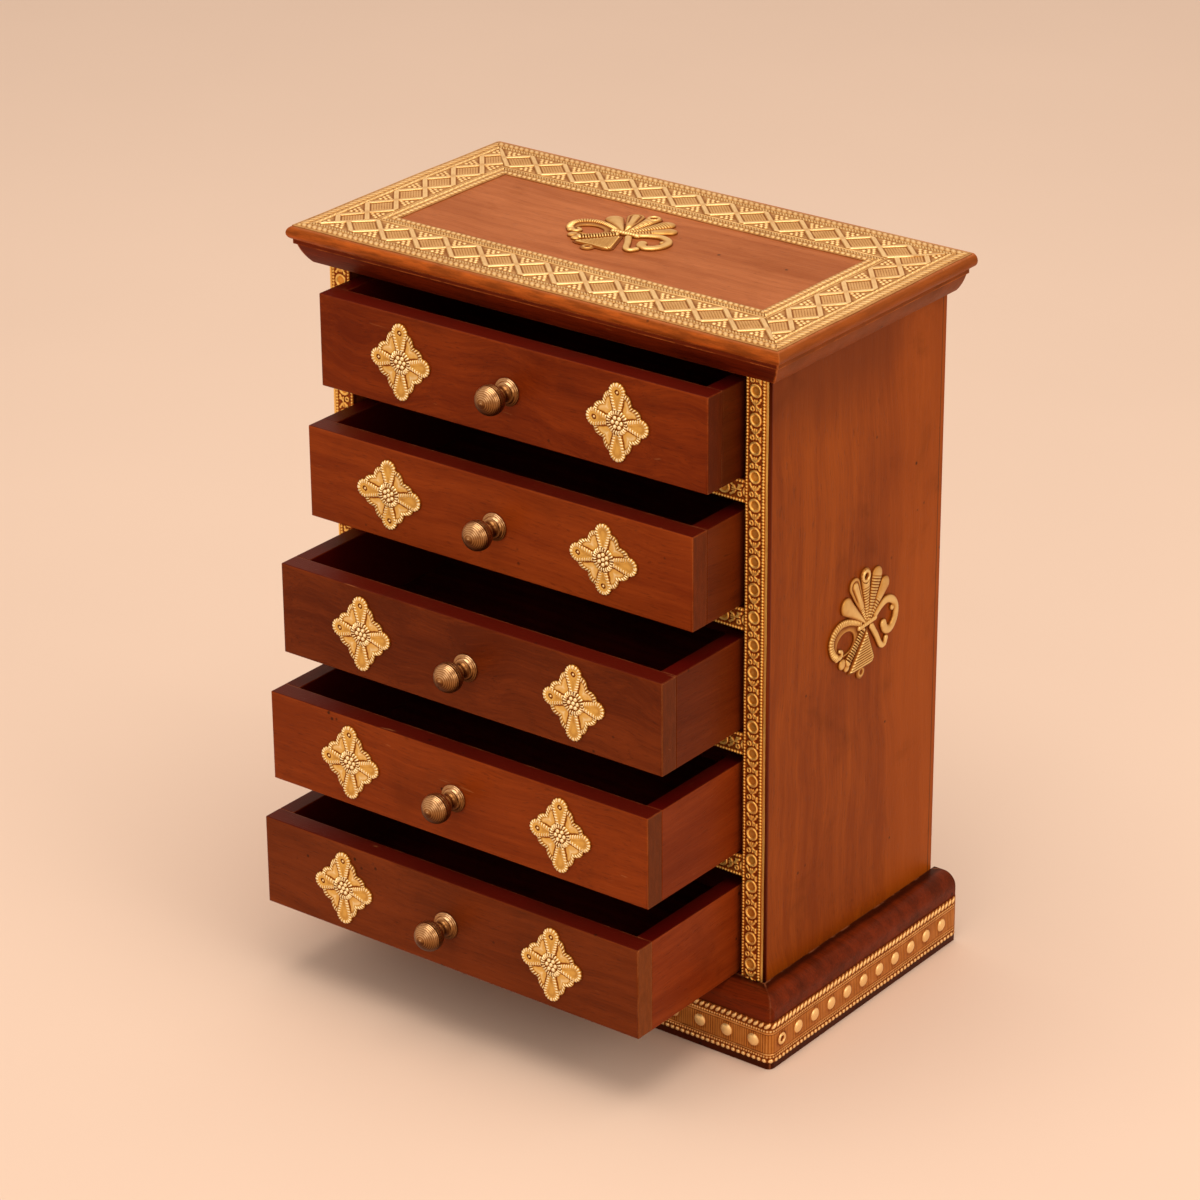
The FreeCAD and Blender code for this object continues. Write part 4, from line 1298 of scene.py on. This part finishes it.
def plumeHeight(p, q):
    look, shapes = plumeLook, plumeShapes(p, q)
    ring = look["discRingHigh"] * dome(((shapes.disc + look["discRing"]) / look["discRingHalf"]) ** 2)
    sheaf = look["sheafHigh"] * softStep(shapes.sheaf, *look["sheafRise"])
    relief = highest(look["plateHigh"] * softStep(shapes.loop, *look["plateRise"]),
                     look["discHigh"] * softStep(shapes.disc, *look["plateRise"]), ring,
                     sheaf * ribbed(q, look["hatchPitch"], look["hatchDepth"], look["ribSpan"]))
    for number, (distance, share, run) in enumerate(shapes.petals):
        petal = highest(relief * look["overlap"], plumePetal(p, q, number, share, run))
        relief = np.where(distance < 0.0, petal, relief)
    for (_, _, _, tall, pitch, depth), (_, share, run) in zip(look["strokes"], shapes.strokes):
        relief = highest(relief, tall * dome(share ** 2) * ribbed(run, pitch, depth, look["ribSpan"]))
    for (_, _, radius, tall), distance in zip(look["nubs"], shapes.nubs):
        relief = highest(relief, tall * dome((distance / radius + 1.0) ** 2))
    return look["sheet"] + relief


mesh = stampedMesh("plume", plumeOutline, plumeHeight, plumeLook["spans"], plumeLook["cell"], "plumeBrass")
sideRight = inMillimetres(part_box("side_panel_right"))[1][0]
boardTop = inMillimetres(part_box("top_board"))[1][2]
plumePlaces = {
    "plume_right": ((sideRight, *plumeLook["onSide"]), (0, 1, 0), (0, 0, 1)),
    "plume_left": ((-sideRight, *plumeLook["onSide"]), (0, -1, 0), (0, 0, 1)),
    "plume_top": ((*plumeLook["onTop"], boardTop), (1, 0, 0), (0, 1, 0)),
}
for name, place in plumePlaces.items():
    addPiece(name, mesh, "carcass", "plume_ornaments", layOn(*place))
print("plumes laid")


# knobs, turned from bar

knobLook = {
    "segments": 72, "sharp": 40.0, "ball": 6.75, "ballLength": 6.1, "ballOut": 11.9, "ballSteps": 110,
    "collar": 3.3,
    # radius and distance out of the drawer face, from the stud's end to the collar
    "stem": ((0.0, -13.2), (1.4, -13.2), (1.4, -0.05), (6.0, 0.0), (6.3, 0.25), (6.3, 0.75), (6.1, 1.0),
             (5.75, 1.0), (5.6, 1.15), (5.5, 1.45), (5.2, 1.6), (4.95, 1.5), (4.8, 1.7), (4.7, 2.1),
             (4.45, 2.35), (4.1, 2.35), (3.6, 2.7), (3.1, 3.3), (2.85, 4.0), (2.8, 4.6), (2.9, 5.1),
             (3.3, 5.3), (3.6, 5.6), (3.6, 5.95), (3.3, 6.2), (3.2, 6.35)),
    # fine lines of the turning tool, and deeper grooves: degrees from the tip, depth and half width
    "linePitch": 0.95, "lineDepth": 0.06,
    "grooves": ((13.0, 0.05, 2.4), (84.0, 0.14, 2.0), (96.0, 0.12, 1.8)),
    # shine of the foot, which is wider than the neck, of the neck and the ball, and its loss in a groove
    "footRadius": 4.0, "footShine": 0.50, "neckShine": 0.30, "ballShine": 0.58, "grooveLoss": 4.0,
    # painted light: how much brighter the upper side of a knob is made, and darker the lower
    "paintedTopLight": 0.26,
}


def knobProfile():
    # radius, distance out and shine
    look = knobLook
    profile = [(radius, out, look["footShine" if radius > look["footRadius"] else "neckShine"])
               for radius, out in look["stem"]]
    startAngle = 180.0 - math.degrees(math.asin(look["collar"] / look["ball"]))
    for step in range(look["ballSteps"] + 1):
        angle = startAngle * (1.0 - step / look["ballSteps"])
        turned = math.radians(angle)
        line = 0.5 + 0.5 * math.cos(2.0 * math.pi * look["ball"] * turned / look["linePitch"])
        dip = look["lineDepth"] * line
        dip += sum(depth * math.exp(-((angle - centre) / half) ** 2)
                   for centre, depth, half in look["grooves"])
        radius = max((look["ball"] - dip) * math.sin(turned), 0.0)
        out = look["ballOut"] + (look["ballLength"] - dip) * math.cos(turned)
        profile.append((radius, out, look["ballShine"] - look["grooveLoss"] * dip))
    return profile


def knobMesh():
    look = knobLook
    build = bmesh.new()
    relief = build.verts.layers.float.new("relief")
    rings = []
    for radius, out, shine in knobProfile():
        count = 1 if radius < 1e-6 else look["segments"]
        ring = []
        for step in range(count):
            angle = 2.0 * math.pi * step / count
            vertex = build.verts.new((radius * math.cos(angle) * mm, radius * math.sin(angle) * mm, out * mm))
            # painted light: the upper side of each knob is made brighter and the lower side darker
            vertex[relief] = shine + look["paintedTopLight"] * math.sin(angle)
            ring.append(vertex)
        rings.append(ring)
    for ring, following in zip(rings, rings[1:]):
        for step in range(look["segments"]):
            corners = [ring[step % len(ring)], ring[(step + 1) % len(ring)],
                       following[(step + 1) % len(following)], following[step % len(following)]]
            build.faces.new(list(dict.fromkeys(corners)))
    mesh = meshFrom(build, "knob", "turnedBrass")
    mesh.set_sharp_from_angle(angle=math.radians(look["sharp"]))
    return mesh


mesh = knobMesh()
for number in drawerNumbers:
    drawer = "drawer_%d" % number
    low, high = inMillimetres(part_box(drawer + "_knob"))
    faceY = inMillimetres(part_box(drawer + "_front"))[0][1]
    place = layOn(((low[0] + high[0]) / 2, faceY, (low[2] + high[2]) / 2), (1, 0, 0), (0, 0, 1))
    addPiece("knob_%d" % number, mesh, drawer, drawer + "_knob", place)
print("knobs turned")


# stage, light and camera, in metres and degrees; lens and sensor are in millimetres

stageLook = {
    "floor": paint(237, 202, 176), "floorSize": 40.0, "floorShade": 0.93, "floorClouds": (3.0, 3.0),
    "floorRough": 0.9, "sky": paint(240, 206, 181), "ambient": 0.70, "ambientTint": (1.0, 0.97, 0.93, 1.0),
}
lampTint = (1.0, 0.96, 0.90)
lampLooks = {
    "overhead": {"place": (0.1, -0.2, 1.9), "aim": (0.0, -0.03, 0.2), "size": 1.7, "power": 19.0},
    "front": {"place": (0.4, -2.3, 1.3), "aim": (0.0, -0.03, 0.15), "size": 1.6, "power": 7.0},
    "side": {"place": (2.2, -0.3, 1.2), "aim": (0.0, -0.03, 0.15), "size": 1.4, "power": 11.0},
}
cameraLook = {"azimuth": 37.4, "elevation": 24.33, "roll": -0.4, "lens": 127.3, "sensor": 36.0,
              "distance": 1.830, "farthest": 100.0, "target": (0.0157, -0.0468, 0.1806)}


def makeFloor():
    look = stageLook
    half = look["floorSize"] / 2
    mesh = bpy.data.meshes.new("floor")
    corners = [(-half, -half, 0), (half, -half, 0), (half, half, 0), (-half, half, 0)]
    mesh.from_pydata(corners, [], [(0, 1, 2, 3)])
    floor = bpy.data.objects.new("floor", mesh)
    bpy.context.scene.collection.objects.link(floor)
    material, shader = newMaterial("paleFloor")
    cloud = noise(addNode("ShaderNodeTexCoord").outputs["Object"], *look["floorClouds"])
    setInputs(shader, {"Base Color": mottled(cloud, look["floor"], (look["floorShade"], 1.0)),
                       "Roughness": look["floorRough"]})
    mesh.materials.append(material)


def makeWorld():
    look = stageLook
    world = bpy.data.worlds.new("studio")
    world.use_nodes = True
    wiring["tree"] = world.node_tree
    rays = addNode("ShaderNodeLightPath").outputs
    seen = larger(rays["Is Camera Ray"], larger(rays["Is Glossy Ray"], rays["Is Transmission Ray"]))
    setInputs(world.node_tree.nodes["Background"], {
        "Color": blendColors(seen, look["ambientTint"], look["sky"]),
        "Strength": remap(seen, 0.0, 1.0, look["ambient"], 1.0)})
    bpy.context.scene.world = world


def makeLamp(name, look):
    lamp = bpy.data.lights.new(name, "AREA")
    lamp.shape = "DISK"
    lamp.size = look["size"]
    lamp.energy = look["power"]
    lamp.color = lampTint
    holder = bpy.data.objects.new(name, lamp)
    holder.location = look["place"]
    holder.rotation_euler = (Vector(look["aim"]) - Vector(look["place"])).to_track_quat("-Z", "Y").to_euler()
    bpy.context.scene.collection.objects.link(holder)


def makeCamera():
    look = cameraLook
    azimuth, tilt, roll = map(math.radians, (look["azimuth"], 90.0 - look["elevation"], look["roll"]))
    turn = Matrix.Rotation(azimuth, 4, "Z") @ Matrix.Rotation(tilt, 4, "X") @ Matrix.Rotation(roll, 4, "Z")
    camera = bpy.data.objects.new("camera", bpy.data.cameras.new("camera"))
    camera.data.lens = look["lens"]
    camera.data.sensor_width = look["sensor"]
    camera.data.clip_end = look["farthest"]
    away = Matrix.Translation((0.0, 0.0, look["distance"]))
    camera.matrix_world = Matrix.Translation(look["target"]) @ turn @ away
    bpy.context.scene.collection.objects.link(camera)
    bpy.context.scene.camera = camera


makeFloor()
makeWorld()
for name, look in lampLooks.items():
    makeLamp(name, look)
makeCamera()
bpy.context.scene.view_settings.view_transform = "Standard"
print("stage, light and camera set")

bpy.context.view_layer.update()
